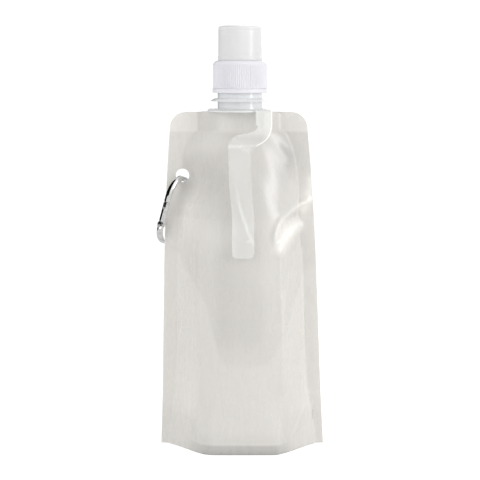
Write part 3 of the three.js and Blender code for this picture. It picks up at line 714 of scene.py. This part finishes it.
def bottom_gusset():
    """The base film: edges that stand on the ground, a hollow floor and ends that rise into the seals."""
    columns, rows = 120, 48
    reach = 45.2
    verts = []
    for lift in (0.0, 0.3):
        for i in range(columns + 1):
            x = middle_at(0.0) + reach * (2 * i / columns - 1)
            across = abs(x - middle_at(0.0))
            half = max(0.12, float(film_offset(np.array(x), np.array(2.0), -1)) - 0.5)
            floor = 2.4 + 27 * (across / reach) ** 7
            for j in range(rows + 1):
                t = 2 * j / rows - 1
                dome = (1 - abs(t) ** 2.4) * (1 + 0.06 * math.sin(5 * t + x / 9))
                fold = 0.5 * math.exp(-((t / 0.06) ** 2))
                verts.append((x, half * t, 0.02 + lift + (floor - fold) * dome))
    return mesh_object("gusset_film", verts, sheet_faces(columns, rows), 60)


front = film_panel("front_film_skin", -1)
store_light_and_tone(front, -1)
finish_piece(front, FILM, "film", "front_film", "pouch_front_panel", rides=False)
flatten_with(front)
back = film_panel("back_film_skin", 1)
store_light_and_tone(back, 1)
finish_piece(back, FILM, "film", "back_film", "pouch_back_panel", rides=False)
flatten_with(back)
gusset = bottom_gusset()
store_light_and_tone(gusset, 1)
finish_piece(gusset, SHADED_GUSSET_FILM, "film", "pouch", "pouch_bottom_gusset")
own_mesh(gusset)

# ---------------------------------------------------------------- spout

SPOUT_LOW, SPOUT_HIGH = cad_box_mm("spout_fitment")
NECK_R, NECK_BORE, BOAT_BORE = 13.5, 11.0, 8.3
LOWER_FLANGE = {"r": SPOUT_HIGH.y, "from": 207.1, "to": 208.1}
UPPER_FLANGE = {"r": 17.6, "from": 213.4, "to": 215.1}
BEAD = {"r": 14.6, "from": 221.1, "to": 222.0}
THREAD = {"pitch": 4.0, "turns": 2, "from": 224.0, "crest": 14.7, "half": 0.65}


def screw_ridge(name, root, crest, start):
    """A screw thread's ridge, with run-outs at both ends."""
    steps = THREAD["turns"] * 72
    sections = []
    for i in range(steps + 1):
        angle = 2 * math.pi * THREAD["turns"] * i / steps
        fade = min(1, 0.2 + i / 14, 0.2 + (steps - i) / 14)
        tip = root + (crest - root) * fade
        sunk = root - math.copysign(0.3, crest - root)
        z = start + THREAD["pitch"] * angle / (2 * math.pi)
        shape = [(sunk, -1), (tip, -0.5), (tip, 0.5), (sunk, 1)]
        half = THREAD["half"]
        sections.append([(r * math.cos(angle), r * math.sin(angle), z + up * half) for r, up in shape])
    return loft(name, sections, 30)


def spout_fitment():
    """Boat-shaped weld base with sealing ribs, bore, two flanges, bead and thread."""
    boat_sections = []
    points = 72
    bottom, top = SPOUT_LOW.z, LOWER_FLANGE["from"] + 0.2
    steps = 40
    for i in range(steps + 1):
        z = bottom + (top - bottom) * i / steps
        rib = 0.28 * (0.5 - 0.5 * math.cos(2 * math.pi * 4 * i / steps)) if i < steps - 2 else 0.28
        ring = []
        for angle in full_turn(points):
            x = (BOAT_HALF - 1.2) * math.cos(angle)
            half = 10.5 * max(0, 1 - abs(x / BOAT_HALF) ** 2.1) - 0.45
            y = math.copysign(max(0.0, half + rib), math.sin(angle)) if abs(math.sin(angle)) > 1e-6 else 0
            ring.append((x, y, z))
        boat_sections.append(ring)
    boat = loft("spout_base", boat_sections, 40)
    low, high = LOWER_FLANGE, UPPER_FLANGE
    neck = turned("spout_neck", rounded([
        (BOAT_BORE, low["from"]), (low["r"], low["from"], 0.3), (low["r"], low["to"], 0.3),
        (NECK_R, low["to"], 0.2), (NECK_R, high["from"], 0.4), (high["r"], high["from"], 0.2),
        (high["r"], high["from"] + 0.5, 0.2), (high["r"] - 2.2, high["to"], 0.5), (NECK_R, high["to"], 0.5),
        (NECK_R, BEAD["from"], 0.2), (BEAD["r"], BEAD["from"] + 0.05, 0.3),
        (BEAD["r"], BEAD["to"] - 0.35, 0.3), (NECK_R, BEAD["to"], 0.3), (NECK_R, SPOUT_HIGH.z, 0.5),
        (NECK_BORE, SPOUT_HIGH.z, 0.5), (NECK_BORE, low["to"] + 3, 1.5), (BOAT_BORE, low["to"], 1.5),
    ], 0.3))
    thread = screw_ridge("spout_thread", NECK_R, THREAD["crest"], THREAD["from"])
    bore = cross_pin(Vector((0, 0, bottom)), Vector((0, 0, 1)), BOAT_BORE, 60, 96)
    base = boolean(boat, bore, "DIFFERENCE", 40)
    fitment = joined("spout_body", boolean(neck, base, "UNION"), thread)
    shade(fitment, 38)
    return fitment


finish_piece(spout_fitment(), SPOUT, "spout_plastic", "pouch", "spout_fitment")

BAND_LOW, BAND_HIGH = cad_box_mm("tamper_band")
COLLAR_LOW, _ = cad_box_mm("screw_collar")
JOIN_LINE = 0.06  # the fine line left between the collar and the pieces below and above it


def tamper_band():
    """The band left on the neck, flush with the collar's foot and hooked inwards at its lower edge."""
    low, high, r = BAND_LOW.z, COLLAR_LOW.z - JOIN_LINE, BAND_HIGH.x
    return turned("tamper_band_ring", rounded([
        (14.0, low + 0.3), (15.2, low), (r, low), (r, high, 0.1), (15.4, high), (14.0, high - 0.6),
    ], 0.3))


finish_piece(tamper_band(), CAP, "cap_plastic", "pouch", "tamper_band")

# ---------------------------------------------------------------- cap

COLLAR_R, COLLAR_TOP, COLLAR_RIBS = 16.35, 237.8, 90
COLLAR_INNER = 15.2
RIB_DEPTH = 0.3
COLLAR_ROOF = 235.5
POST = {"r": 5.5, "bore": 3.2, "top": 246.2, "pin": 2.0, "pin_top": 249.7}
GROOVE = {"r": 4.7, "from": 241.0, "to": 242.4}


def rib_ripple(angle, r, z):
    """Draws the grip ribs into the collar's skirt and fades them out at the shoulder and the foot."""
    if r < COLLAR_R - 0.7:
        return r
    fade = float(smoothstep(COLLAR_LOW.z + 0.3, COLLAR_LOW.z + 1.1, z))
    fade *= 1 - float(smoothstep(COLLAR_TOP - 3.4, COLLAR_TOP - 2.4, z))
    groove = (0.5 + 0.5 * math.cos(COLLAR_RIBS * angle)) ** 1.6
    return r - RIB_DEPTH * groove * fade


def screw_collar():
    """Ribbed skirt with an inner thread, a snap ring for the cover, and the nozzle's post and pin."""
    r, low, top = COLLAR_R, COLLAR_LOW.z, COLLAR_TOP
    skirt = [(r, low + 0.02 + k * (top - 2.6 - low) / 14) for k in range(15)]
    shoulder = [
        (r - 3 * (1 - math.cos(a)), top - 3 + 3 * math.sin(a)) for a in np.radians(range(6, 91, 12))
    ]
    post, groove, pin = POST["r"], GROOVE["r"], POST["pin"]
    cap_top = [
        (12.6, top, 0.3), (11.7, top, 0.2), (11.7, top + 1.4, 0.4), (10.9, top + 1.9, 0.3), (10.3, top, 0.4),
        (post, top, 0.6), (post, GROOVE["from"], 0.1), (groove, GROOVE["from"], 0.2),
        (groove, GROOVE["to"], 0.2), (post, GROOVE["to"], 0.1), (post, POST["top"], 0.5),
        (pin, POST["top"], 0.4), (pin, POST["pin_top"], 0.5), (0, POST["pin_top"]),
    ]
    inside = [
        (0, POST["top"] - 1.2), (POST["bore"], POST["top"] - 1.2, 0.4), (POST["bore"], COLLAR_ROOF, 0.5),
        (COLLAR_INNER, COLLAR_ROOF, 0.5), (COLLAR_INNER, low, 0.2),
    ]
    outline = skirt + shoulder + rounded(cap_top, 0.3, closed=False) + rounded(inside, 0.3, closed=False)
    shell = turned("collar_shell", outline, COLLAR_RIBS * 8, rib_ripple, 32)
    for k in range(3):
        turn = Matrix.Rotation(math.radians(120 * k), 3, "Z")
        corners = [(0, -1.5), (8, -1.5), (8, 1.5), (0, 1.5)]
        levels = (POST["top"] - 3.2, POST["top"] - 1.2)
        port = loft("port_tool", [[turn @ Vector((x, y, z)) for x, y in corners] for z in levels])
        shell = boolean(shell, port, "DIFFERENCE", 32)
    start = THREAD["from"] - THREAD["pitch"] / 2 + 0.1
    thread = screw_ridge("cap_thread", COLLAR_INNER, NECK_R + 0.45, start)
    collar = joined("screw_collar_shell", shell, thread)
    shade(collar, 32)
    return collar


def push_pull_nozzle():
    """Drinking nozzle: a finger ring at the foot, a waist and a rolled lip round the hole."""
    low, high = (c.z for c in cad_box_mm("push_pull_nozzle"))
    outline = rounded([
        (5.8, low, 0.3), (9.0, low, 0.4), (9.4, low + 0.5, 0.3), (9.4, low + 1.6, 0.4), (8.4, low + 2.2, 0.5),
        (7.6, low + 4, 1.2), (7.4, high - 3.4, 1), (8.1, high - 2.4, 0.7), (8.0, high - 1.2, 0.6),
        (6.8, high - 0.2, 0.9), (2.9, high, 0.4), (2.3, high - 0.5, 0.3), (2.3, high - 2.4, 0.2),
        (5.8, high - 3, 0.3),
    ], 0.3)
    return turned("nozzle_body", outline, 128)


def dust_cover():
    """Frosted cover: a thick flat lid that shows as a double line, and a bead round the open edge."""
    low, high = COLLAR_TOP + JOIN_LINE, cad_box_mm("dust_cover")[1].z
    foot, top = 13.2, 12.95
    outline = rounded([
        (0, high), (top - 2.5, high - 0.15, 2), (top, high - 0.75, 0.7), (top + 0.03, high - 2.2, 0.5),
        (top - 0.12, high - 2.6, 0.3), (top - 0.1, high - 3.0, 0.3), (top + 0.05, high - 3.3, 0.5),
        (foot - 0.12, low + 2.4, 0.5), (foot + 0.1, low + 2.0, 0.3), (foot + 0.12, low, 0.3),
        (foot - 1.1, low, 0.2), (foot - 1.15, low + 2.0, 0.3), (top - 1.0, high - 2.6, 1.0),
        (top - 2.2, high - 1.7, 0.6), (0, high - 1.6),
    ], 0.3, closed=False)
    return turned("dust_cover_shell", outline, 144)


def turned_plain(name, node, inner, radius, bulge=0.0):
    """A ring as wide and tall as its CAD node, with rounded corners."""
    low, high = cad_box_mm(node)
    middle = (low.z + high.z) / 2
    eased = high.x - bulge
    outline = [(inner, low.z), (eased, low.z), (high.x, middle), (eased, high.z), (inner, high.z)]
    return turned(name, rounded(outline, radius), 128)


finish_piece(screw_collar(), CAP, "cap_plastic", "cap", "screw_collar")
finish_piece(push_pull_nozzle(), NOZZLE, "nozzle_plastic", "nozzle", "push_pull_nozzle")
finish_piece(dust_cover(), COVER, "cover_plastic", "cover", "dust_cover")
finish_piece(turned_plain("liner_disc", "cap_liner", 9.2, 0.2), SEAL, "seal_rubber", "liner", "cap_liner")
seal_ring = turned_plain("seal_ring", "nozzle_seal_ring", 4.85, 0.3, 0.1)
finish_piece(seal_ring, SEAL, "seal_rubber", "cap", "nozzle_seal_ring")

# ---------------------------------------------------------------- strap

STRAP_WIDTH, STRAP_THICK, STRAP_CORNER = 13.1, 0.6, 3.0
RING = {"inner": 13.8, "outer": 19.3, "from": 208.3, "to": 208.8}
RIM_ACROSS = (0.724, 0.69, 0)
FRONT_ACROSS = (1, 0, 0)
STRAP_CREST = 187  # the height where the strip turns down over the bulge
STREAK_FOOT = 132.4  # the height where its slanting crease meets the one across
STRAP_ROUTE = [  # the strip's middle line, with the direction across it
    ((11.7, -12.3, 208.55), RIM_ACROSS),
    ((13.3, -13.95, 208.55), RIM_ACROSS),
    ((14, -14.7, 208.2), RIM_ACROSS),
    ((14.25, -14.95, 207.2), RIM_ACROSS),
    ((14.25, -14.95, 205.4), RIM_ACROSS),
    ((14.25, -14.95, 199.5), RIM_ACROSS),
    ((13.9, -15.4, 196.8), (0.66, 0.73, -0.15)),
    ((12.6, -16.6, 194.4), (0.5, 0.76, -0.42)),
    ((10, -18.4, 192.2), (0.32, 0.78, -0.54)),
    ((6.8, -20.3, 190.4), (0.3, 0.72, -0.62)),
    ((3.6, -22.1, 189), (0.45, 0.6, -0.66)),
    ((1, -23.4, 188), (0.75, 0.4, -0.5)),
    ((-0.4, -24.2, 187), (0.93, 0.15, -0.3)),
    ((-0.6, -24.6, 185), (1, 0.03, -0.08)),
    ((-0.2, -24.7, 179.4), FRONT_ACROSS),
    ((0, -24.7, 167.5), FRONT_ACROSS),
    ((1, -25.3, 155.8), FRONT_ACROSS),
    ((1.8, -26.4, 146.1), FRONT_ACROSS),
    ((1.85, -27.5, 135.4), FRONT_ACROSS),
    ((1.85, -28, 124), FRONT_ACROSS),
]


def strap_fold(share, z):
    """How strongly the sheet is strained, from 0 to 1, by the share across and the height."""
    above = z - STREAK_FOOT
    streak = 0.75 - 0.0655 * above + 0.00066 * above * above
    slant = 0.7 * np.exp(-(((share - streak) / 0.13) ** 2)) * smoothstep(168, 148, z) * (z > 131)
    cross = 0.6 * np.exp(-(((z - STREAK_FOOT + 1.1 + share) / 0.6) ** 2)) * smoothstep(0.1, 0.8, share)
    crest = 0.35 * np.exp(-((z - STRAP_CREST - 0.3) ** 2))
    return np.clip(np.maximum(slant, np.maximum(cross, crest)), 0, 1)


def strap_relief(share, z):
    """The sheet's height over its middle plane: its own bow, with the strained folds raised."""
    fold = float(strap_fold(share, z)) if z < 165 else 0
    return 0.25 * (1 - share * share) + 0.3 * fold


def store_fold_highlights(strap):
    """Stores the strap's folds, with more near the top and towards the lower end, on its mesh, where its
    material shows them as painted highlights.
    """
    places = vertex_places(strap)
    share = (places[:, 0] - STRAP_ROUTE[-1][0][0]) / (STRAP_WIDTH / 2)
    hanging = places[:, 2] < STRAP_ROUTE[1][0][2] - 1
    fold = strap_fold(share, places[:, 2]) * hanging
    fold = fold + 0.28 * smoothstep(160, 134, places[:, 2]) + 0.4 * smoothstep(191, 196, places[:, 2])
    store_values(strap, "fold", fold)


def neck_strap():
    """The ring round the neck and the strip that leaves it, as one die-cut sheet whose upper outer cut edge
    has a painted glow.
    """
    fine = 8
    centres = through([place for place, _ in STRAP_ROUTE], fine)
    sides = through([across for _, across in STRAP_ROUTE], fine)
    half_width = STRAP_WIDTH / 2
    widths = [half_width] * len(centres)
    end = centres[-1]
    for turn in range(10, 91, 10):
        angle = math.radians(turn)
        centres.append(end + Vector((0, -0.02, -STRAP_CORNER * math.sin(angle))))
        sides.append(sides[-1])
        widths.append(half_width - STRAP_CORNER * (1 - math.cos(angle)))
    last = len(centres) - 1
    across = 16
    half = STRAP_THICK / 2
    shares = [2 * k / across - 1 for k in range(across + 1)]
    sections = []
    for i, (centre, side, width) in enumerate(zip(centres, sides, widths)):
        forward = (centres[min(last, i + 1)] - centres[max(0, i - 1)]).normalized()
        side = (side - forward * side.dot(forward)).normalized()
        up = side.cross(forward)
        relief = [strap_relief(s, centre.z) for s in shares]
        top = [centre + side * width * s + up * (half + rise) for s, rise in zip(shares, relief)]
        under = [centre + side * width * s + up * (rise - half) for s, rise in zip(shares, relief)]
        sections.append([*top, *reversed(under)])
    strip = loft("strap_strip", sections, 45)
    # the upper outer cut edge takes the glowing edge material, a painted highlight
    outer_rim = {across - 1, across, across + 1, across + 2}
    for face in strip.data.polygons:
        points = {v % (2 * across + 2) for v in face.vertices}
        if points <= outer_rim and face.center.z > STRAP_CREST * MM:
            face.material_index = 1
    ring = turned("strap_washer", rounded([
        (RING["inner"], RING["from"]), (RING["outer"], RING["from"]),
        (RING["outer"], RING["to"]), (RING["inner"], RING["to"]),
    ], 0.15), 120)
    strap = joined("neck_strap_sheet", strip, ring)
    store_fold_highlights(strap)
    shade(strap, 45)
    return strap


strap = finish_piece(
    neck_strap(), (STRAP, STRAP_EDGE_GLOW), "strap_plastic", "strap", "strap_ring", "neck_strap", rides=False
)
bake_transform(strap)

# ---------------------------------------------------------------- snap hook

HOOK = {"rod": 1.9, "bend": 10.6, "length": 41.2, "lean": 10.0, "tilt": 15.0, "yaw": -120.0}
HOOK_TOP = HOLE + Vector((-0.3, 0, -1.6))
GATE = {"pivot": 29.2, "from": 14.6, "latch": 16.3}
LEAN_TURN = Matrix.Rotation(math.radians(HOOK["lean"]), 3, "X")
TILT = Matrix.Rotation(math.radians(HOOK["tilt"]), 3, "Y")
YAW = Matrix.Rotation(math.radians(HOOK["yaw"]), 3, "Z")
HOOK_TURN = LEAN_TURN @ TILT @ YAW
HOOK_AXIS = HOOK_TURN @ Vector((0, 1, 0))
RIVET_R = 0.6


def hook_point(x, y, down):
    """A point given across, through and down the hook's loop, in the frame's axes."""
    return HOOK_TOP + HOOK_TURN @ Vector((x, y, -down))


def loop_point(distance):
    """The middle line of the loop, by the distance from its top towards the gate's leg."""
    bend = HOOK["bend"]
    straight = HOOK["length"] - 2 * bend
    quarter = math.pi * bend / 2
    total = 4 * quarter + 2 * straight
    at = distance % total
    if at < quarter:
        return hook_point(bend * math.sin(at / bend), 0, bend * (1 - math.cos(at / bend)))
    if at < quarter + straight:
        return hook_point(bend, 0, bend + at - quarter)
    if at < 3 * quarter + straight:
        angle = (at - quarter - straight) / bend
        return hook_point(bend * math.cos(angle), 0, bend + straight + bend * math.sin(angle))
    if at < 3 * quarter + 2 * straight:
        return hook_point(-bend, 0, bend + straight - (at - 3 * quarter - straight))
    angle = (total - at) / bend
    return hook_point(-bend * math.sin(angle), 0, bend * (1 - math.cos(angle)))


def hook_plate(outline, thickness, middle=0.0):
    """A flat plate in the hook's plane, from [across, down] points."""
    layers = (middle - thickness / 2, middle + thickness / 2)
    return loft("plate_tool", [[hook_point(x, y, down) for x, down in outline] for y in layers])


def hook_box(x, half, top, bottom):
    """The corners of a box in the hook's plane, as [across, down] points."""
    return [(x - half, top), (x + half, top), (x + half, bottom), (x - half, bottom)]


def hook_pin(x, down, radius, length, middle=0.0, sides=32):
    return cross_pin(hook_point(x, middle, down), HOOK_AXIS, radius, length, sides)


def along_leg(down):
    return math.pi * HOOK["bend"] / 2 + down - HOOK["bend"]


def carabiner_frame():
    """Bent rod with a forked end for the gate's pivot and a notched nose that the latch pin enters."""
    bend, pivot, latch = HOOK["bend"], GATE["pivot"], GATE["latch"]
    quarter = math.pi * bend / 2
    total = 4 * quarter + 2 * (HOOK["length"] - 2 * bend)
    nose = GATE["from"] - 0.5
    start, end = along_leg(pivot), total + along_leg(nose)
    steps = 150
    route = [loop_point(start + (end - start) * k / steps) for k in range(steps + 1)]
    bar = tube("carabiner_bar", route, HOOK["rod"], 32, 40)
    boss = hook_pin(bend, pivot, HOOK["rod"] - 0.02, 2 * HOOK["rod"] - 0.4, 0, 48)
    bar = boolean(bar, boss, "UNION", 40)
    slot = hook_plate(hook_box(bend, 3, pivot - 3, pivot + 2.2), 2.5)
    bar = boolean(bar, slot, "DIFFERENCE", 40)
    bar = boolean(bar, hook_pin(bend, pivot, RIVET_R + 0.05, 6), "DIFFERENCE", 40)
    tongue = hook_plate([
        (bend - 1.1, nose - 1), (bend + 1.25, nose - 1), (bend + 1.25, latch + 1.5),
        (bend - 0.3, latch + 1.9), (bend - 0.9, latch + 1.5), (bend - 0.9, latch + 0.85),
        (bend + 0.3, latch + 0.8), (bend + 0.3, latch - 0.8), (bend - 1.1, latch - 0.85),
    ], 1.1)
    bar = boolean(bar, tongue, "UNION", 40)
    bar.name = "carabiner_rod"
    return bar


def carabiner_gate():
    """Gate rod with rounded ends, a slot for the nose, and a flat tab with the pivot's eye."""
    bend, pivot, latch = HOOK["bend"], GATE["pivot"], GATE["latch"]
    end = pivot - HOOK["rod"] - 0.3
    ease = 0.25
    rings = [(HOOK["rod"] - ease, GATE["from"]), (HOOK["rod"], GATE["from"] + ease)]
    rings += [(HOOK["rod"], end - ease), (HOOK["rod"] - ease, end)]
    sections = []
    for r, down in rings:
        ring = [(bend + r * math.cos(a), r * math.sin(a)) for a in full_turn(32)]
        sections.append([hook_point(x, y, down) for x, y in ring])
    gate = loft("carabiner_gate_rod", sections, 40)
    tab = hook_plate(hook_box(bend, 1.4, end - 1, pivot), 1.2, -0.45)
    gate = boolean(gate, tab, "UNION", 40)
    gate = boolean(gate, hook_pin(bend, pivot, 1.4, 1.2, -0.45), "UNION", 40)
    gate = boolean(gate, hook_pin(bend, pivot, RIVET_R + 0.05, 8), "DIFFERENCE", 40)
    slot = hook_plate(hook_box(bend, 3, GATE["from"] - 1, latch + 2.5), 1.7)
    gate = boolean(gate, slot, "DIFFERENCE", 40)
    return boolean(gate, hook_pin(bend - 0.35, latch, 0.52, 8, 0, 24), "DIFFERENCE", 40)


def headed_pin(name, x, down, radius, half, head):
    """A pin across the hook with a low dome on each end."""
    rise = [(radius * 0.1, half + head), (radius * 0.6, half + head * 0.8), (radius, half + head * 0.3)]
    shank = [(radius, half * 0.9 * s) for s in (-1, 1)]
    profile = [(r, -h) for r, h in rise] + shank + [(r, h) for r, h in reversed(rise)]
    out, side = HOOK_TURN @ Vector((1, 0, 0)), HOOK_TURN @ Vector((0, 0, 1))
    round_pin = [math.cos(a) * out + math.sin(a) * side for a in full_turn(28)]
    centre = hook_point(x, 0, down)
    return loft(name, [[centre + HOOK_AXIS * h + r * p for p in round_pin] for r, h in profile], 40)


def gate_spring():
    """Torsion spring: a leg on the frame, a turn round the rivet, and a leg up the gate's inner side."""
    coil = 1.05
    x, down = HOOK["bend"], GATE["pivot"]
    points = [(x - coil, 0.45, down + 1.8), (x - coil, 0.45, down + 0.9)]
    for i in range(13):
        angle = math.pi - 2 * math.pi * i / 12
        points.append((x + coil * math.cos(angle), 0.45 + 0.5 * i / 12, down - coil * math.sin(angle)))
    points += [(x - 2, 1, down - 2), (x - 2, 1, down - 4.5)]
    return tube("gate_spring_wire", through([hook_point(*p) for p in points], 6), 0.18, 12)


finish_piece(carabiner_frame(), CHROME, "polished_metal", "hook", "carabiner_frame")
finish_piece(carabiner_gate(), CHROME, "polished_metal", "gate", "carabiner_gate")
rivet = headed_pin("rivet_pin", HOOK["bend"], GATE["pivot"], RIVET_R, 1.8, 0.25)
finish_piece(rivet, CHROME, "polished_metal", "hook", "gate_rivet")
latch_pin = headed_pin("latch_pin", HOOK["bend"] - 0.35, GATE["latch"], 0.5, 1.6, 0.12)
finish_piece(latch_pin, CHROME, "polished_metal", "gate", "gate_latch_pin")
spring = finish_piece(gate_spring(), SPRING, "spring_steel", "hook", "gate_spring", rides=False)
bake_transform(spring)

# ---------------------------------------------------------------- stage

CAMERA_AWAY = 780.0
EYE_HEIGHT = 230.0
LOOK_AT = Vector((0.0, 0.0, 128.56))
LENS = 95.99
FLOOR_SIZE = 1.3  # metres; beyond it the bright surroundings are seen
FLOOR_GLOW = {"lit": 0.4, "seen": 0.9}
STUDIO = {"dark_side": 0.0, "mirrored": 1.1, "round": 0.72, "seen": 1.1}
DARK_SECTOR = (-0.06, 0.02)  # where mirrored surroundings turn dark, by the direction along X


def add_camera():
    data = bpy.data.cameras.new("camera")
    data.lens = LENS
    camera = bpy.data.objects.new("camera", data)
    bpy.context.scene.collection.objects.link(camera)
    camera.location = Vector((0, -CAMERA_AWAY, EYE_HEIGHT)) * MM
    look = LOOK_AT * MM - camera.location
    camera.rotation_euler = look.to_track_quat("-Z", "Y").to_euler()
    bpy.context.scene.camera = camera


def add_light(name, place, size, power, target=(0, 0, 120), mirrored=True):
    data = bpy.data.lights.new(name, "AREA")
    data.shape = "RECTANGLE"
    data.size, data.size_y = size[0] * MM, size[1] * MM
    data.energy = power
    light = bpy.data.objects.new(name, data)
    bpy.context.scene.collection.objects.link(light)
    light.location = Vector(place) * MM
    light.visible_glossy = mirrored
    light.rotation_euler = ((Vector(target) - Vector(place)) * MM).to_track_quat("-Z", "Y").to_euler()


def add_floor():
    bpy.ops.mesh.primitive_plane_add(size=FLOOR_SIZE)
    floor = bpy.context.object
    floor.name = "floor"
    floor.location.z = -0.0004
    material, nodes, links, shader = new_material("pale_floor")
    shader.inputs["Base Color"].default_value = (0.3, 0.3, 0.3, 1)
    shader.inputs["Roughness"].default_value = 0.8
    shader.inputs["Emission Color"].default_value = (1, 1, 1, 1)
    path = nodes.new("ShaderNodeLightPath")
    glow = nodes.new("ShaderNodeMapRange")
    glow.inputs["To Min"].default_value = FLOOR_GLOW["lit"]
    glow.inputs["To Max"].default_value = FLOOR_GLOW["seen"]
    links.new(path.outputs["Is Camera Ray"], glow.inputs["Value"])
    links.new(glow.outputs["Result"], shader.inputs["Emission Strength"])
    floor.data.materials.append(material)


def add_world():
    """A white studio: white behind the object, softer round it, and dark to the left in reflections."""
    world = bpy.data.worlds.new("studio")
    bpy.context.scene.world = world
    world.use_nodes = True
    nodes, links = world.node_tree.nodes, world.node_tree.links
    soft = nodes["Background"]
    soft.inputs["Color"].default_value = (1, 1, 1, 1)
    soft.inputs["Strength"].default_value = STUDIO["round"]
    mirrored = nodes.new("ShaderNodeBackground")
    white = nodes.new("ShaderNodeBackground")
    white.inputs["Strength"].default_value = STUDIO["seen"]
    for background in (mirrored, white):
        background.inputs["Color"].default_value = (1, 1, 1, 1)
    place = nodes.new("ShaderNodeTexCoord")
    split = nodes.new("ShaderNodeSeparateXYZ")
    links.new(place.outputs["Generated"], split.inputs["Vector"])
    ramp = nodes.new("ShaderNodeMapRange")
    ramp.interpolation_type = "SMOOTHSTEP"
    ramp.inputs["From Min"].default_value = DARK_SECTOR[0]
    ramp.inputs["From Max"].default_value = DARK_SECTOR[1]
    ramp.inputs["To Min"].default_value = STUDIO["dark_side"]
    ramp.inputs["To Max"].default_value = STUDIO["mirrored"]
    links.new(split.outputs["X"], ramp.inputs["Value"])
    links.new(ramp.outputs["Result"], mirrored.inputs["Strength"])
    path = nodes.new("ShaderNodeLightPath")
    bounce = nodes.new("ShaderNodeMixShader")
    links.new(path.outputs["Is Glossy Ray"], bounce.inputs["Fac"])
    links.new(soft.outputs["Background"], bounce.inputs[1])
    links.new(mirrored.outputs["Background"], bounce.inputs[2])
    mix = nodes.new("ShaderNodeMixShader")
    links.new(path.outputs["Is Camera Ray"], mix.inputs["Fac"])
    links.new(bounce.outputs["Shader"], mix.inputs[1])
    links.new(white.outputs["Background"], mix.inputs[2])
    links.new(mix.outputs["Shader"], nodes["World Output"].inputs["Surface"])


add_camera()
add_world()
add_floor()
add_light("key_right", (950, -520, 420), (260, 800), 5.2)
add_light("fill_left", (-850, -600, 350), (800, 900), 4.3, mirrored=False)
add_light("back", (250, 1100, 600), (600, 600), 2.0)
bpy.context.scene.view_settings.view_transform = "Standard"
